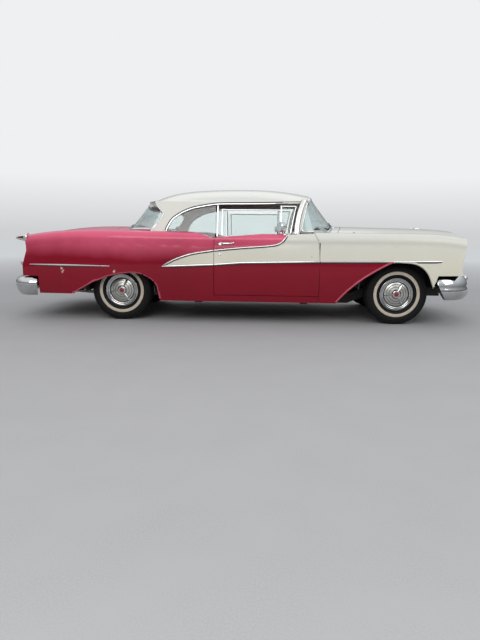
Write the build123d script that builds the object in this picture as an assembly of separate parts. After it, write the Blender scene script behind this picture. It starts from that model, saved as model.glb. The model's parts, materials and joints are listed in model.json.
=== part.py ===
from build123d import *
import os

# A two-door hardtop saloon of the middle 1950s, in millimetres.
# +X is forward, +Y is the car's left, +Z is up. The origin is on the ground,
# under the middle of the whole car.

# Overall places
FRONT_AXLE_X = 1724
WHEELBASE = 3099
REAR_AXLE_X = FRONT_AXLE_X - WHEELBASE
PANEL_GAP = 5
SEAT_GAP = 0.3

# Wheels and tyres
TYRE_RADIUS = 340
TYRE_WIDTH = 200
RIM_RADIUS = 190
RIM_WIDTH = 165
TRACK_HALF = 730
HUB_BORE = 30
DRUM_RADIUS = 140
COVER_RADIUS = 192
HUB_Z = TYRE_RADIUS
TYRE_INNER_Y = TRACK_HALF - TYRE_WIDTH / 2
KINGPIN_Y = TRACK_HALF - 90
BACKPLATE_Y = TRACK_HALF - 66
WELL_CLEARANCE = 58
WELL_Y = TYRE_INNER_Y - WELL_CLEARANCE
WELL_SHEET = 12
SPRING_Y = WELL_Y - 72

# Sheet thicknesses
SKIN = 14
LID_SKIN = 22
ROOF_SKIN = 30
GLASS = 6
FLOOR_SHEET = 14

# Lower body: each row is one cross section
# columns: x, half width, centre height, hood edge height, fender crown height, sill half width
BODY_SECTIONS = [
    (-2560, 905, 925, 905, 930, 880),
    (-2100, 948, 1036, 984, 1000, 915),
    (-1400, 978, 1062, 1002, 1018, 942),
    (-300, 987, 1062, 1000, 1008, 948),
    (850, 987, 1088, 1000, 1012, 948),
    (1700, 978, 1076, 990, 1014, 936),
    (2200, 955, 1066, 972, 1000, 915),
    (2560, 925, 1035, 925, 938, 895),
]
WAIST_Z = 690
SILL_Z = 245
LID_HALF_WIDTH = 610
SHOULDER_DROP = 118
SHOULDER_IN = 24
CROWN_IN = 96

# Panel lines in side view
HOOD_REAR_X = 1058
HOOD_REAR_BOW = 105
HINGE_PIN = 2.4
FENDER_REAR_X = 850
DOOR_REAR_X = -301
DOOR_BOTTOM_Z = 322
DECK_FRONT_X = -1505
DECK_LOW_Z = 620
QUARTER_BOTTOM_Z = 305

# The cowl's ears carry the windshield posts inside the doors' front corners
EAR_X = 596
EAR_INNER_Y = 740
EAR_OUTER_Y = 812
EAR_LOW_Z = 905
HOOD_PIN_Z = 1081
DECK_PIN_Z = 1060
DOOR_PIN_Y = 987

# Headlamps
LAMP_Y = 770
LAMP_Z = 800

# Licence plate bolts
PLATE_SPACING = 177.8
PLATE_Z = 560
PLATE_HOLE = 3.5

# Cabin
CABIN_WALL_Y = 862
BELT_WALL_Y = 775
CABIN_FRONT_X = 1040
CABIN_REAR_X = -1040
BULKHEAD_X = CABIN_FRONT_X + 12
KICK_UP_X = -780
FLOOR_Z = 330
FLOOR_HALF = 822
TUNNEL_HALF = 132
TUNNEL_TOP = 472
BELT_Z = 985
DRIP_Z = 1335
DRIP_Y = 692
RAIL_DROP = 20
ROOF_TOP_Z = 1520
GLASS_FOOT_Y = 800
GLASS_TOP_Z = 1305
DOOR_PANE_TOP_Z = 1262

# Bumper irons reach back to the frame rails
IRON_INNER = 350
IRON_OUTER = 390

# Frame and running gear
RAIL_Y = 370
RAIL_WIDTH = 70
RAIL_HEIGHT = 110
RAIL_FRONT_Z = 338
RAIL_TOP = RAIL_FRONT_Z + RAIL_HEIGHT / 2
AXLE_TUBE = 40
EXHAUST_Y = -235

# Steering
COLUMN_Y = 370
STEERING_WHEEL_X = 405
STEERING_WHEEL_Z = 885
COLUMN_FOOT_X = 1020
COLUMN_FOOT_Z = 560
STEERING_WHEEL_RADIUS = 215


def prism_y(points, y_low, y_high):
    """A side-view outline of (x, z) points, drawn out across the car."""
    outline = Polyline(*[(x, y_low, z) for x, z in points], close=True)
    return extrude(make_face(outline), amount=y_high - y_low, dir=(0, 1, 0))


def prism_x(points, x_low, x_high):
    """A front-view outline of (y, z) points, drawn out along the car."""
    outline = Polyline(*[(x_low, y, z) for y, z in points], close=True)
    return extrude(make_face(outline), amount=x_high - x_low, dir=(1, 0, 0))


def prism_z(points, z_low, z_high):
    """A plan outline of (x, y) points, drawn upwards."""
    outline = Polyline(*[(x, y, z_low) for x, y in points], close=True)
    return extrude(make_face(outline), amount=z_high - z_low, dir=(0, 0, 1))


def block(x_low, x_high, y_low, y_high, z_low, z_high):
    """A box between two corners."""
    size = (x_high - x_low, y_high - y_low, z_high - z_low)
    centre = ((x_low + x_high) / 2, (y_low + y_high) / 2, (z_low + z_high) / 2)
    return Pos(*centre) * Box(*size)


def rod(start, end, radius):
    """A round bar from one point to another."""
    a, b = Vector(*start), Vector(*end)
    run = b - a
    place = Plane(origin=a, z_dir=run)
    return place * Cylinder(radius, run.length, align=(Align.CENTER, Align.CENTER, Align.MIN))


def ring_y(x, z, outer, inner, y_low, y_high):
    """A ring whose axis lies across the car."""
    place = Plane(origin=(x, y_low, z), z_dir=(0, 1, 0))
    up = (Align.CENTER, Align.CENTER, Align.MIN)
    ring = Cylinder(outer, y_high - y_low, align=up)
    if inner:
        ring -= Cylinder(inner, y_high - y_low, align=up)
    return place * ring


def other_side(shape):
    """The same piece on the car's right."""
    return mirror(shape, about=Plane.XZ)


def biggest(shape):
    """The main solid, where a cut leaves crumbs."""
    return max(shape.solids(), key=lambda solid: solid.volume)


def body_section(row, inset, floor_z):
    """One closed cross section of the lower body, drawn in by an inset."""
    x, half_width, centre_z, edge_z, fender_z, sill_half = row
    width = half_width - inset
    sill = sill_half - inset
    top = fender_z - inset
    edges = [ThreePointArc((x, -LID_HALF_WIDTH, edge_z - inset), (x, 0, centre_z - inset),
                           (x, LID_HALF_WIDTH, edge_z - inset))]
    for side in (1, -1):
        lid_edge = (x, side * LID_HALF_WIDTH, edge_z - inset)
        crown_mid = (x, side * (width + LID_HALF_WIDTH - CROWN_IN) / 2, top)
        crown_end = (x, side * (width - CROWN_IN), top - 9)
        shoulder_end = (x, side * (width - SHOULDER_IN), top - SHOULDER_DROP)
        sill_end = (x, side * sill, floor_z)
        crown = ThreePointArc(lid_edge, crown_mid, crown_end)
        edges.append(crown)
        edges.append(TangentArc(crown_end, shoulder_end, tangent=crown % 1))
        edges.append(ThreePointArc(shoulder_end, (x, side * width, WAIST_Z), sill_end))
    edges.append(Line((x, -sill, floor_z), (x, sill, floor_z)))
    return Face(Wire(edges))


def body_form(inset, floor_z):
    """The lower body as one smooth form."""
    return loft([body_section(row, inset, floor_z) for row in BODY_SECTIONS])


def nose_profile(inset):
    """Side-view limits of fenders and quarters: headlamp brow in front, tail at the back."""
    front = [(2330 - inset, 1200), (2418 - inset, 945), (2414 - inset, 880), (2376 - inset, 690),
             (2376 - inset, 620), (2400 - inset, 540), (2400 - inset, 100)]
    rear = [(-2470 + inset, 100), (-2470 + inset, 620), (-2424 + inset, 780), (-2440 + inset, 910),
            (-2420 + inset, 1200)]
    return prism_y(front + rear, -1100, 1100)


BODY_OUTER = body_form(0, SILL_Z)
BODY_INNER = body_form(SKIN, SILL_Z - 60)
BODY_LID_INNER = body_form(LID_SKIN, SILL_Z - 60)
BODY_SEAT = body_form(SKIN + SEAT_GAP, SILL_Z - 60)

# The wheel openings rise steeply in front of the wheel and sweep down behind it
FRONT_ARCH = [(2079, 200), (2079, 434), (2034, 549), (1989, 615), (1928, 663), (1845, 692),
              (1633, 700), (1506, 641), (1316, 522), (1157, 386), (1062, 283), (1020, 200)]
REAR_ARCH = [(-905, 200), (-905, 258), (-933, 421), (-1000, 496), (-1102, 546), (-1204, 563),
             (-1360, 547), (-1499, 514), (-1675, 443), (-1818, 364), (-1917, 305), (-1917, 200)]
# The fender stops just above the bumper
FENDER_CHIN = [(2070, 200), (2079, 436), (2102, 500), (2122, 561), (2520, 568), (2520, 200)]
# The door's front edge leans back above the waist, and the fender's rear edge follows it
DOOR_FRONT = [(845, 200), (845, 699), (829, 912), (780, 1000), (760, 1200)]
FENDER_REAR_LINE = [(x + PANEL_GAP, z) for x, z in DOOR_FRONT]
BELT_LINE = [(-1500, 1012), (-890, 1011), (-566, 1003), (-430, 979), (-328, 939), (-277, 948),
             (-26, 967), (226, 986), (478, 984), (760, 996), (860, 1004)]


SEAM_Y = LID_HALF_WIDTH + PANEL_GAP - SEAT_GAP


def hood_plan(grow, x_far):
    """Plan region on one side of the bowed seam between cowl and hood."""
    side_x, centre_x, half = HOOD_REAR_X + grow, HOOD_REAR_X + HOOD_REAR_BOW + grow, SEAM_Y
    seam = ThreePointArc((side_x, -half, 700), (centre_x, 0, 700), (side_x, half, 700))
    rest = Polyline((side_x, half, 700), (x_far, half, 700), (x_far, -half, 700), (side_x, -half, 700))
    return extrude(make_face([seam, rest]), amount=600, dir=(0, 0, 1))


def cabin_space():
    """What is hollow between the door linings, from floor to belt."""
    half = [(CABIN_WALL_Y, 100), (CABIN_WALL_Y, 720), (BELT_WALL_Y, 940), (BELT_WALL_Y, 1300)]
    outline = half + [(-y, z) for y, z in reversed(half)]
    return prism_x(outline, CABIN_REAR_X, CABIN_FRONT_X)


def belt_cut(x_low, x_high):
    """Everything above the belt line."""
    line = [point for point in BELT_LINE if x_low < point[0] < x_high]
    start = [(x_low, 1400), (x_low, line[0][1])]
    end = [(x_high, line[-1][1]), (x_high, 1400)]
    return prism_y(start + line + end, -1100, 1100)


def belt_fill(x_low, x_high):
    """Everything below a line just above the belt, to seat the glass on."""
    line = [point for point in BELT_LINE if x_low < point[0] < x_high]
    points = [(x_low, line[0][1])] + line + [(x_high, line[-1][1])]
    raised = [(x, z + SEAT_GAP) for x, z in points]
    return prism_y(raised + [(x_high, 500), (x_low, 500)], -1100, 1100)


def fender():
    """Left front fender with its headlamp opening and wheelhouse."""
    region = block(FENDER_REAR_X, 2500, LID_HALF_WIDTH + PANEL_GAP, 1100, SILL_Z - 10, 1100)
    rear = FENDER_REAR_LINE + [(700, 1200), (700, 200)]
    region += block(780, FENDER_REAR_X, LID_HALF_WIDTH + PANEL_GAP, 1100, 900, 1100)
    outer = BODY_OUTER & nose_profile(0) & region
    shell = outer - (BODY_INNER & nose_profile(SKIN))
    shell -= prism_y(rear, 500, 1100)
    shell -= prism_y(FRONT_ARCH, 700, 1100)
    shell -= prism_y(FENDER_CHIN, 500, 1100)
    lamp = Plane(origin=(2300, LAMP_Y, LAMP_Z), z_dir=(1, 0, 0)) * Cylinder(98, 400)
    shell -= lamp
    house = ring_y(FRONT_AXLE_X, 400, 442, 430, 428, 940)
    house += ring_y(FRONT_AXLE_X, 400, 442, 0, 416, 428)
    house -= block(1200, 2300, 300, 1000, -100, 400)
    house &= BODY_INNER
    house -= prism_y(FRONT_ARCH, 900, 1100)
    house -= prism_y(FENDER_CHIN, 700, 1100)
    house -= block(FRONT_AXLE_X - 160, FRONT_AXLE_X + 160, 400, 620, 390, 520)
    ledge = block(1290, 2150, 416, LID_HALF_WIDTH + PANEL_GAP + 30, 838, 850)
    web = block(1290, 2150, LID_HALF_WIDTH + PANEL_GAP, LID_HALF_WIDTH + PANEL_GAP + 12, 840, 1040)
    web &= BODY_INNER
    foot = block(1880, 2150, 398, 428, RAIL_TOP + SEAT_GAP, 407)
    place = Pos(845 + HINGE_PIN + 0.3, DOOR_PIN_Y, 640)
    pin = place * Cylinder(HINGE_PIN, 80)
    return biggest(shell + house + ledge + web + foot + pin)


def hood():
    """The hood with its turned-down nose."""
    outline = [(HOOD_REAR_X, 800), (HOOD_REAR_X, 1200), (2440, 1200),
               (2478, 1040), (2492, 990), (2484, 900), (2470, 893), (2300, 893), (2300, 800)]
    inner_outline = [(HOOD_REAR_X - 50, 700), (HOOD_REAR_X - 50, 1200), (2420, 1200),
                     (2456, 1030), (2468, 990), (2462, 700)]
    lid_width = LID_HALF_WIDTH
    outer = BODY_OUTER & prism_y(outline, -lid_width, lid_width)
    inner = BODY_LID_INNER & prism_y(inner_outline, -lid_width, lid_width)
    return biggest((outer - inner) & hood_plan(PANEL_GAP, 2600))


def deck_lid():
    """The luggage lid, with its rear face down to the bumper."""
    outline = [(DECK_FRONT_X, 1200), (DECK_FRONT_X, 800), (-2300, DECK_LOW_Z), (-2500, DECK_LOW_Z),
               (-2452, 780), (-2462, 880), (-2440, 960), (-2350, 1200)]
    inner_outline = [(DECK_FRONT_X + 50, 1200), (DECK_FRONT_X + 50, 500), (-2440, 500), (-2440, 640),
                     (-2430, 780), (-2440, 880), (-2420, 950), (-2330, 1200)]
    outer = BODY_OUTER & prism_y(outline, -LID_HALF_WIDTH, LID_HALF_WIDTH)
    inner = BODY_LID_INNER & prism_y(inner_outline, -LID_HALF_WIDTH, LID_HALF_WIDTH)
    return biggest(outer - inner)


def rear_panel():
    """The panel below the luggage lid."""
    outline = [(-2480, 330), (-2480, DECK_LOW_Z - PANEL_GAP), (-2466, DECK_LOW_Z - PANEL_GAP),
               (-2466, 330)]
    panel = prism_y(outline, -SEAM_Y, SEAM_Y)
    for side in (1, -1):
        y_low, y_high = sorted((side * (IRON_INNER - SEAT_GAP), side * (IRON_OUTER + SEAT_GAP)))
        panel -= block(-2600, -2400, y_low, y_high, 360 - SEAT_GAP, 410 + SEAT_GAP)
        place = Plane(origin=(-2500, side * PLATE_SPACING / 2, PLATE_Z), z_dir=(1, 0, 0))
        panel -= place * Cylinder(PLATE_HOLE, 100)
    return panel


def quarter():
    """Left rear quarter: outer skin, wheel opening, and the thick wall beside the rear seat."""
    line = DOOR_REAR_X - PANEL_GAP
    region = block(-2600, line, LID_HALF_WIDTH + PANEL_GAP, 1100, SILL_Z - 10, 1100)
    outer = BODY_OUTER & nose_profile(0) & region
    outer -= block(-2600, -1800, 500, 1100, 200, QUARTER_BOTTOM_Z)
    outer -= block(-2600, -2290, 500, 1100, 200, 500)
    outer -= belt_cut(-1040, line + 20)
    shell = outer - (BODY_INNER & nose_profile(SKIN))
    wall = outer & block(-880, line, 0, 1100, DOOR_BOTTOM_Z, 1100)
    wall -= cabin_space()
    shell += wall
    shell -= block(-880, line + 10, 500, 1100, 200, DOOR_BOTTOM_Z - PANEL_GAP)
    shell -= prism_y(REAR_ARCH, 500, 1100)
    return biggest(shell)


def parcel_shelf():
    """The panel between the rear window and the luggage lid, with the shelf inside."""
    region = block(DECK_FRONT_X + PANEL_GAP, -1040, -SEAM_Y, SEAM_Y, 850, 1100)
    skin = BODY_OUTER & region
    skin -= BODY_INNER
    skin += ring_y(DECK_FRONT_X + PANEL_GAP - HINGE_PIN + 0.2, DECK_PIN_Z, HINGE_PIN, 0, -24, 24)
    return biggest(skin)


def cowl():
    """The cowl top in front of the windshield, the bulkhead and the hinge pillars."""
    top = ((BODY_OUTER & hood_plan(0, 660)) - BODY_INNER) & block(600, 1300, -SEAM_Y, SEAM_Y, 850, 1200)
    top -= block(600, 900, -500, 500, 800, 1200)
    pin_x = HOOD_REAR_X + HOOD_REAR_BOW + HINGE_PIN - 0.2
    top += ring_y(pin_x, HOOD_PIN_Z, HINGE_PIN, 0, -24, 24)
    bulkhead = block(CABIN_FRONT_X, BULKHEAD_X, -840, 840, FLOOR_Z + 20, 1100) & BODY_SEAT
    bulkhead += block(CABIN_FRONT_X, BULKHEAD_X, -SEAM_Y, SEAM_Y, 900, 1200) & BODY_OUTER
    bulkhead -= block(1000, 1100, -TUNNEL_HALF, TUNNEL_HALF, 200, TUNNEL_TOP)
    result = top + bulkhead
    rear = [(x - SEAT_GAP, z) for x, z in FENDER_REAR_LINE]
    under_fender = prism_y(rear + [(1300, 1200), (1300, 200)], -1100, 1100)
    for side in (1, -1):
        y_low, y_high = sorted((side * (FLOOR_HALF + SEAT_GAP), side * 915))
        result += block(862, BULKHEAD_X, y_low, y_high, DOOR_BOTTOM_Z + PANEL_GAP, 960)
        y_low, y_high = sorted((side * EAR_INNER_Y, side * EAR_OUTER_Y))
        ear = block(EAR_X, BULKHEAD_X, y_low, y_high, EAR_LOW_Z, 1100) & BODY_OUTER
        result += ear - belt_cut(-1040, 860) - under_fender
        result += ear & under_fender & BODY_SEAT
        y_low, y_high = sorted((side * 500, side * EAR_OUTER_Y))
        result += block(900, BULKHEAD_X, y_low, y_high, EAR_LOW_Z, 960) & BODY_SEAT
    return result


def rockers():
    """The sill panels under the doors."""
    region = block(-880, 845, FLOOR_HALF + SEAT_GAP, 1100, SILL_Z, DOOR_BOTTOM_Z - PANEL_GAP)
    left = BODY_OUTER & region
    left = biggest(left)
    return Compound(children=[left, other_side(left)])


def door():
    """Left door: one thick shell whose inner rear edge is stepped for the swing."""
    outline = DOOR_FRONT + [(DOOR_REAR_X, 1200), (DOOR_REAR_X, 200)]
    body = BODY_OUTER & prism_y(outline, 500, 1100) & block(-400, 900, 500, 1100, DOOR_BOTTOM_Z, 1100)
    body -= cabin_space()
    body -= belt_cut(-1040, 860)
    body -= block(DOOR_REAR_X - 10, DOOR_REAR_X + 14, 500, 930, 200, 1100)
    body -= block(EAR_X - PANEL_GAP, 900, 500, EAR_OUTER_Y + PANEL_GAP, EAR_LOW_Z - PANEL_GAP, 1100)
    return biggest(body)


def roof_section(x, crown_z, drip_y, drip_z, inset):
    """One cross section of the roof."""
    top = ThreePointArc((x, -drip_y + inset, drip_z - inset), (x, 0, crown_z - inset),
                        (x, drip_y - inset, drip_z - inset))
    low = drip_z - (RAIL_DROP if inset == 0 else 260)
    edges = [top, Line((x, drip_y - inset, drip_z - inset), (x, drip_y - inset, low)),
             Line((x, drip_y - inset, low), (x, -drip_y + inset, low)),
             Line((x, -drip_y + inset, low), (x, -drip_y + inset, drip_z - inset))]
    return Face(Wire(edges))


# columns: x, crown height, half width at the drip rail, drip rail height
ROOF_SECTIONS = [
    (-1150, 1330, 610, 1268),
    (-980, 1424, 650, 1308),
    (-700, 1490, 684, 1328),
    (-200, ROOF_TOP_Z, DRIP_Y, DRIP_Z),
    (350, 1510, 688, 1342),
    (800, 1438, 640, 1365),
]


def side_glass_plane(thickness, inward, x_low, x_high):
    """A leaning strip from the belt to the drip rail, left side."""
    foot, head = GLASS_FOOT_Y - inward, DRIP_Y - inward
    lean = (foot - head) / (DRIP_Z - BELT_Z)
    low, high = BELT_Z - 60, DRIP_Z + 5
    outline = [(foot + lean * 60, low), (foot + lean * 60 - thickness, low),
               (head - lean * 5 - thickness, high), (head - lean * 5, high)]
    return prism_x(outline, x_low, x_high)


def roof(carriers):
    """The roof panel with its rear pillars and the thin front pillars."""
    outer = loft([roof_section(*row, 0) for row in ROOF_SECTIONS])
    inner = loft([roof_section(*row, ROOF_SKIN) for row in ROOF_SECTIONS])
    inner = inner & block(-1110, 760, -1000, 1000, 1000, 1600)
    shell = outer - inner
    front = [(700, -800), (745, -620), (795, 0), (745, 620), (700, 800), (900, 800), (900, -800)]
    shell -= prism_z(front, 1100, 1700)
    bow = ThreePointArc((-1116, -524, 1100), (-1152, 0, 1100), (-1116, 524, 1100))
    ends = [TangentArc((-1116, side * 524, 1100), (-975, side * 672, 1100),
                       tangent=bow % 1 if side > 0 else (bow % 0) * -1) for side in (1, -1)]
    beyond = Polyline((-975, 672, 1100), (-975, 900, 1100), (-1400, 900, 1100), (-1400, -900, 1100),
                      (-975, -900, 1100), (-975, -672, 1100))
    shell -= extrude(make_face([bow, beyond] + ends), amount=600, dir=(0, 0, 1))
    pillar_line = [(-862, 1000), (-810, 1130), (-700, 1225), (-560, 1275), (-300, 1316), (-300, 1345),
                   (-1000, 1345), (-985, 1304), (-892, 1204), (-932, 1120), (-1040, 1000)]
    for side in (1, -1):
        strip = side_glass_plane(34, 0, -1040, -290) & prism_y(pillar_line, 500, 1000)
        post = loft([
            Plane(origin=(618, 782, 985)) * Rectangle(26, 40),
            Plane(origin=(706, 657, 1372)) * Rectangle(26, 40)])
        for piece in (strip, post):
            shell += piece if side > 0 else other_side(piece)
    for carrier in carriers:
        shell -= carrier
    return biggest(shell)


def glass_strip(foot, head):
    """Curved glass between two plan outlines: rows of centre x, corner point and end point, and z."""
    faces = []
    for centre_x, corner, end, z in (foot, head):
        outer_mid = ThreePointArc((corner[0], -corner[1], z), (centre_x, 0, z), (corner[0], corner[1], z))
        sign = 1 if centre_x > end[0] else -1
        inner_corner = (corner[0] - sign * GLASS, corner[1] - 1)
        inner_end = (end[0], end[1] - GLASS)
        inner_mid = ThreePointArc((inner_corner[0], -inner_corner[1], z), (centre_x - sign * GLASS, 0, z),
                                  (inner_corner[0], inner_corner[1], z))
        edges = [outer_mid, inner_mid]
        for side in (1, -1):
            start = (corner[0], side * corner[1], z)
            out_tangent = outer_mid % 1 if side > 0 else (outer_mid % 0) * -1
            in_tangent = inner_mid % 1 if side > 0 else (inner_mid % 0) * -1
            edges.append(TangentArc(start, (end[0], side * end[1], z), tangent=out_tangent))
            inner_start = (inner_corner[0], side * inner_corner[1], z)
            edges.append(TangentArc(inner_start, (inner_end[0], side * inner_end[1], z), tangent=in_tangent))
            edges.append(Line((end[0], side * end[1], z), (inner_end[0], side * inner_end[1], z)))
        faces.append(Face(Wire(edges)))
    return loft(faces, ruled=True)


def side_glass(points, inward=8):
    """A pane of side glass from a side-view outline."""
    return side_glass_plane(GLASS, inward, -1100, 900) & prism_y(points, 400, 1000)


def door_glass():
    """The vent pane and the main pane of the left door."""
    low = BELT_Z - 60
    vent = side_glass([(432, low), (530, low), (541, 1040), (562, 1150), (594, GLASS_TOP_Z), (432, GLASS_TOP_Z)])
    main = side_glass([(-285, low), (418, low), (418, DOOR_PANE_TOP_Z), (-285, DOOR_PANE_TOP_Z)])
    beneath = belt_fill(-1040, 860)
    return Compound(children=[biggest(vent - beneath), biggest(main - beneath)])


def quarter_glass(roof_panel):
    """The rear side panes."""
    pane = side_glass([(-310, BELT_Z - 60), (-880, BELT_Z - 60), (-880, 1050), (-800, 1150), (-700, 1230),
                       (-556, 1280), (-310, 1306)])
    pane = biggest(pane - belt_fill(-1040, 860) - roof_panel)
    return Compound(children=[pane, other_side(pane)])


def bumper(path_points, profile, guards, iron, end_cut):
    """A wraparound bumper: one section swept along a plan path of two corner arcs and a bow."""
    end, corner, centre = path_points
    z = profile[2]
    bow = ThreePointArc((corner[0], -corner[1], z), (centre, 0, z), (corner[0], corner[1], z))
    left = TangentArc((corner[0], corner[1], z), (end[0], end[1], z), tangent=bow % 1)
    height, depth, _ = profile
    outward = 1 if centre > 0 else -1
    start = Plane(origin=(centre, 0, z), x_dir=(outward, 0, 0), z_dir=(0, 1, 0))
    half = height / 2
    crease = (-depth * 0.07, -half * 0.05)
    outline = [Line((-depth, -half * 0.8), (-depth * 0.6, -half)),
               ThreePointArc((-depth * 0.6, -half), (-depth * 0.25, -half * 0.6), crease),
               ThreePointArc(crease, (0, half * 0.42), (-depth * 0.3, half * 0.86)),
               ThreePointArc((-depth * 0.3, half * 0.86), (-depth * 0.45, half * 0.97), (-depth * 0.6, half)),
               Line((-depth * 0.6, half), (-depth, half * 0.9)),
               Line((-depth, half * 0.9), (-depth, -half * 0.8))]
    face = start * Face(Wire(outline))
    half_bow = ThreePointArc((centre, 0, z), bow @ 0.75, (corner[0], corner[1], z))
    side = sweep(face, path=Wire([half_bow, left]))
    side -= prism_y(end_cut, 700, 1100)
    bar = side + other_side(side)
    sag = abs(centre - corner[0])
    for y in guards:
        bow_x = centre - outward * sag * (y / corner[1]) ** 2
        nose = Plane(origin=(bow_x - outward * 70, y, z + half * 0.62), x_dir=(0, 1, 0), z_dir=(outward, 0, 0))
        bar += nose * (Cylinder(46, 60) + Pos(0, 0, 30) * Sphere(46))
    x_low, x_high = sorted(iron[:2])
    for side in (1, -1):
        y_low, y_high = sorted((side * IRON_INNER, side * IRON_OUTER))
        bar += block(x_low, x_high, y_low, y_high, iron[2], iron[3])
    return bar


def tyre(y_side):
    """A tyre on the left; y_side is its middle plane."""
    half, outer, inner = TYRE_WIDTH / 2, TYRE_RADIUS, RIM_RADIUS
    tread = half * 0.72
    section = [Line((-tread, outer), (tread, outer)),
               ThreePointArc((tread, outer), (half * 0.93, outer - 22), (half, outer - 62)),
               ThreePointArc((half, outer - 62), (half * 0.97, inner + 40), (half * 0.72, inner)),
               Line((half * 0.72, inner), (-half * 0.72, inner)),
               ThreePointArc((-half * 0.72, inner), (-half * 0.97, inner + 40), (-half, outer - 62)),
               ThreePointArc((-half, outer - 62), (-half * 0.93, outer - 22), (-tread, outer))]
    ring = revolve(Face(Wire(section)), axis=Axis.X)
    return Pos(0, y_side, 0) * (Rot(0, 0, 90) * ring)


def wheel(y_side):
    """Rim, disc, brake drum and dished cover in one turned piece; outboard is +Y."""
    half = RIM_WIDTH / 2
    section = [(-half, RIM_RADIUS - 18), (-half, RIM_RADIUS - SEAT_GAP), (half, RIM_RADIUS - SEAT_GAP),
               (half + 6, COVER_RADIUS - 16), (half + 2, 150), (half - 14, 138), (half - 4, 92),
               (half + 4, 52), (half + 16, 34), (half + 16, 0), (half - 30, 0), (half - 30, HUB_BORE),
               (-44, HUB_BORE), (-44, DRUM_RADIUS), (10, DRUM_RADIUS), (14, 120), (half - 40, 120),
               (half - 30, RIM_RADIUS - 18)]
    outline = Polyline(*[(across, radius, 0) for across, radius in section], close=True)
    disc = revolve(make_face(outline), axis=Axis.X)
    return Pos(0, y_side, 0) * (Rot(0, 0, 90) * disc)


def knuckle():
    """Left steering knuckle: upright, spindle, backing plate and steering arm."""
    x, z = FRONT_AXLE_X, HUB_Z
    upright = Pos(x, KINGPIN_Y, z) * Cylinder(22, 210)
    spindle = ring_y(x, z, HUB_BORE - SEAT_GAP, 0, KINGPIN_Y, TRACK_HALF + 40)
    plate = ring_y(x, z, DRUM_RADIUS - 4, 0, BACKPLATE_Y - 4, BACKPLATE_Y + 4)
    arm = block(x - 150, x, KINGPIN_Y - 34, KINGPIN_Y - 10, z - 92, z - 72)
    return upright + spindle + plate + arm


def front_suspension():
    """Crossmember, control arms, coil springs and the steering link."""
    x, z = FRONT_AXLE_X, HUB_Z
    outer = RAIL_Y + RAIL_WIDTH / 2
    rail_top = RAIL_TOP
    rail_low = RAIL_FRONT_Z - RAIL_HEIGHT / 2
    low, high = z - 105 - SEAT_GAP - 25, z + 105 + SEAT_GAP
    result = block(x - 60, x + 60, -outer, outer, low, rail_low - SEAT_GAP)
    parts = []
    for side in (1, -1):
        lower = prism_z([(x - 140, 395), (x + 140, 395), (x + 18, KINGPIN_Y + 2),
                         (x - 18, KINGPIN_Y + 2)], low, low + 25)
        upper = prism_z([(x - 100, 380), (x - 68, 380), (x, KINGPIN_Y - 50), (x + 68, 380), (x + 100, 380),
                         (x + 18, KINGPIN_Y + 2), (x - 18, KINGPIN_Y + 2)], high, high + 20)
        seat = block(x - 100, x + 100, 345, 400, rail_top + SEAT_GAP, high + 20)
        seat += block(x - 70, x + 70, 345, 530, rail_top + SEAT_GAP, rail_top + 14)
        spring = Pos(x, 470, (low + 25 + rail_top) / 2) * Cylinder(52, rail_top - low - 25)
        arms = upper + seat
        result += lower if side > 0 else other_side(lower)
        for piece in (arms, spring):
            parts.append(piece if side > 0 else other_side(piece))
    link = block(x - 156, x - 134, -505, 505, z - 118, z - 98)
    result += link + block(x - 160, x - 50, -20, 20, z - 118, z - 90)
    for piece in parts:
        result += piece
    return result


def rail_outline():
    """Side view of a frame rail: low under the cabin, kicked up over the rear axle."""
    centre = [(2330, RAIL_FRONT_Z), (1500, RAIL_FRONT_Z), (1250, 235), (-750, 235), (-1050, 470),
              (-1700, 480), (-1950, 400), (-2440, 390)]
    half = RAIL_HEIGHT / 2
    return [(x, z + half) for x, z in centre] + [(x, z - half) for x, z in reversed(centre)]


def frame():
    """The chassis: two rails, crossmembers and outriggers."""
    inner, outer = RAIL_Y - RAIL_WIDTH / 2, RAIL_Y + RAIL_WIDTH / 2
    rail = prism_y(rail_outline(), inner, outer)
    result = rail + other_side(rail)
    for x, z in ((2290, 354), (420, 264), (-700, 264), (-1700, 510), (-2310, 400)):
        result += block(x - 35, x + 35, -inner - 5, inner + 5, z - 22, z + 22)
    for x in (700, -500):
        for side in (1, -1):
            y_low, y_high = sorted((side * outer, side * 800))
            result += block(x - 40, x + 40, y_low, y_high, 210, 282)
            y_low, y_high = sorted((side * 700, side * 760))
            result += block(x - 30, x + 30, y_low, y_high, 280, FLOOR_Z - FLOOR_SHEET - SEAT_GAP)
    return result


def tunnel_form(grow, x_low, x_high):
    """The tunnel over the propeller shaft, larger or smaller by a margin."""
    half, top = TUNNEL_HALF + grow, TUNNEL_TOP + grow
    foot = FLOOR_Z - 40
    return prism_x([(-half, foot), (-half + 40, top), (half - 40, top), (half, foot)], x_low, x_high)


def floor_sheet(top):
    """A floor panel of one thickness under a side-view line."""
    return prism_y(top + [(x, z - FLOOR_SHEET) for x, z in reversed(top)], -FLOOR_HALF, FLOOR_HALF)


def floor_pan():
    """Floor, toe board and tunnel."""
    floor = floor_sheet([(1038, 620), (900, FLOOR_Z), (KICK_UP_X, FLOOR_Z)])
    return biggest(floor + tunnel_form(0, KICK_UP_X, 960) - tunnel_form(-FLOOR_SHEET, -1000, 1100))


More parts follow.
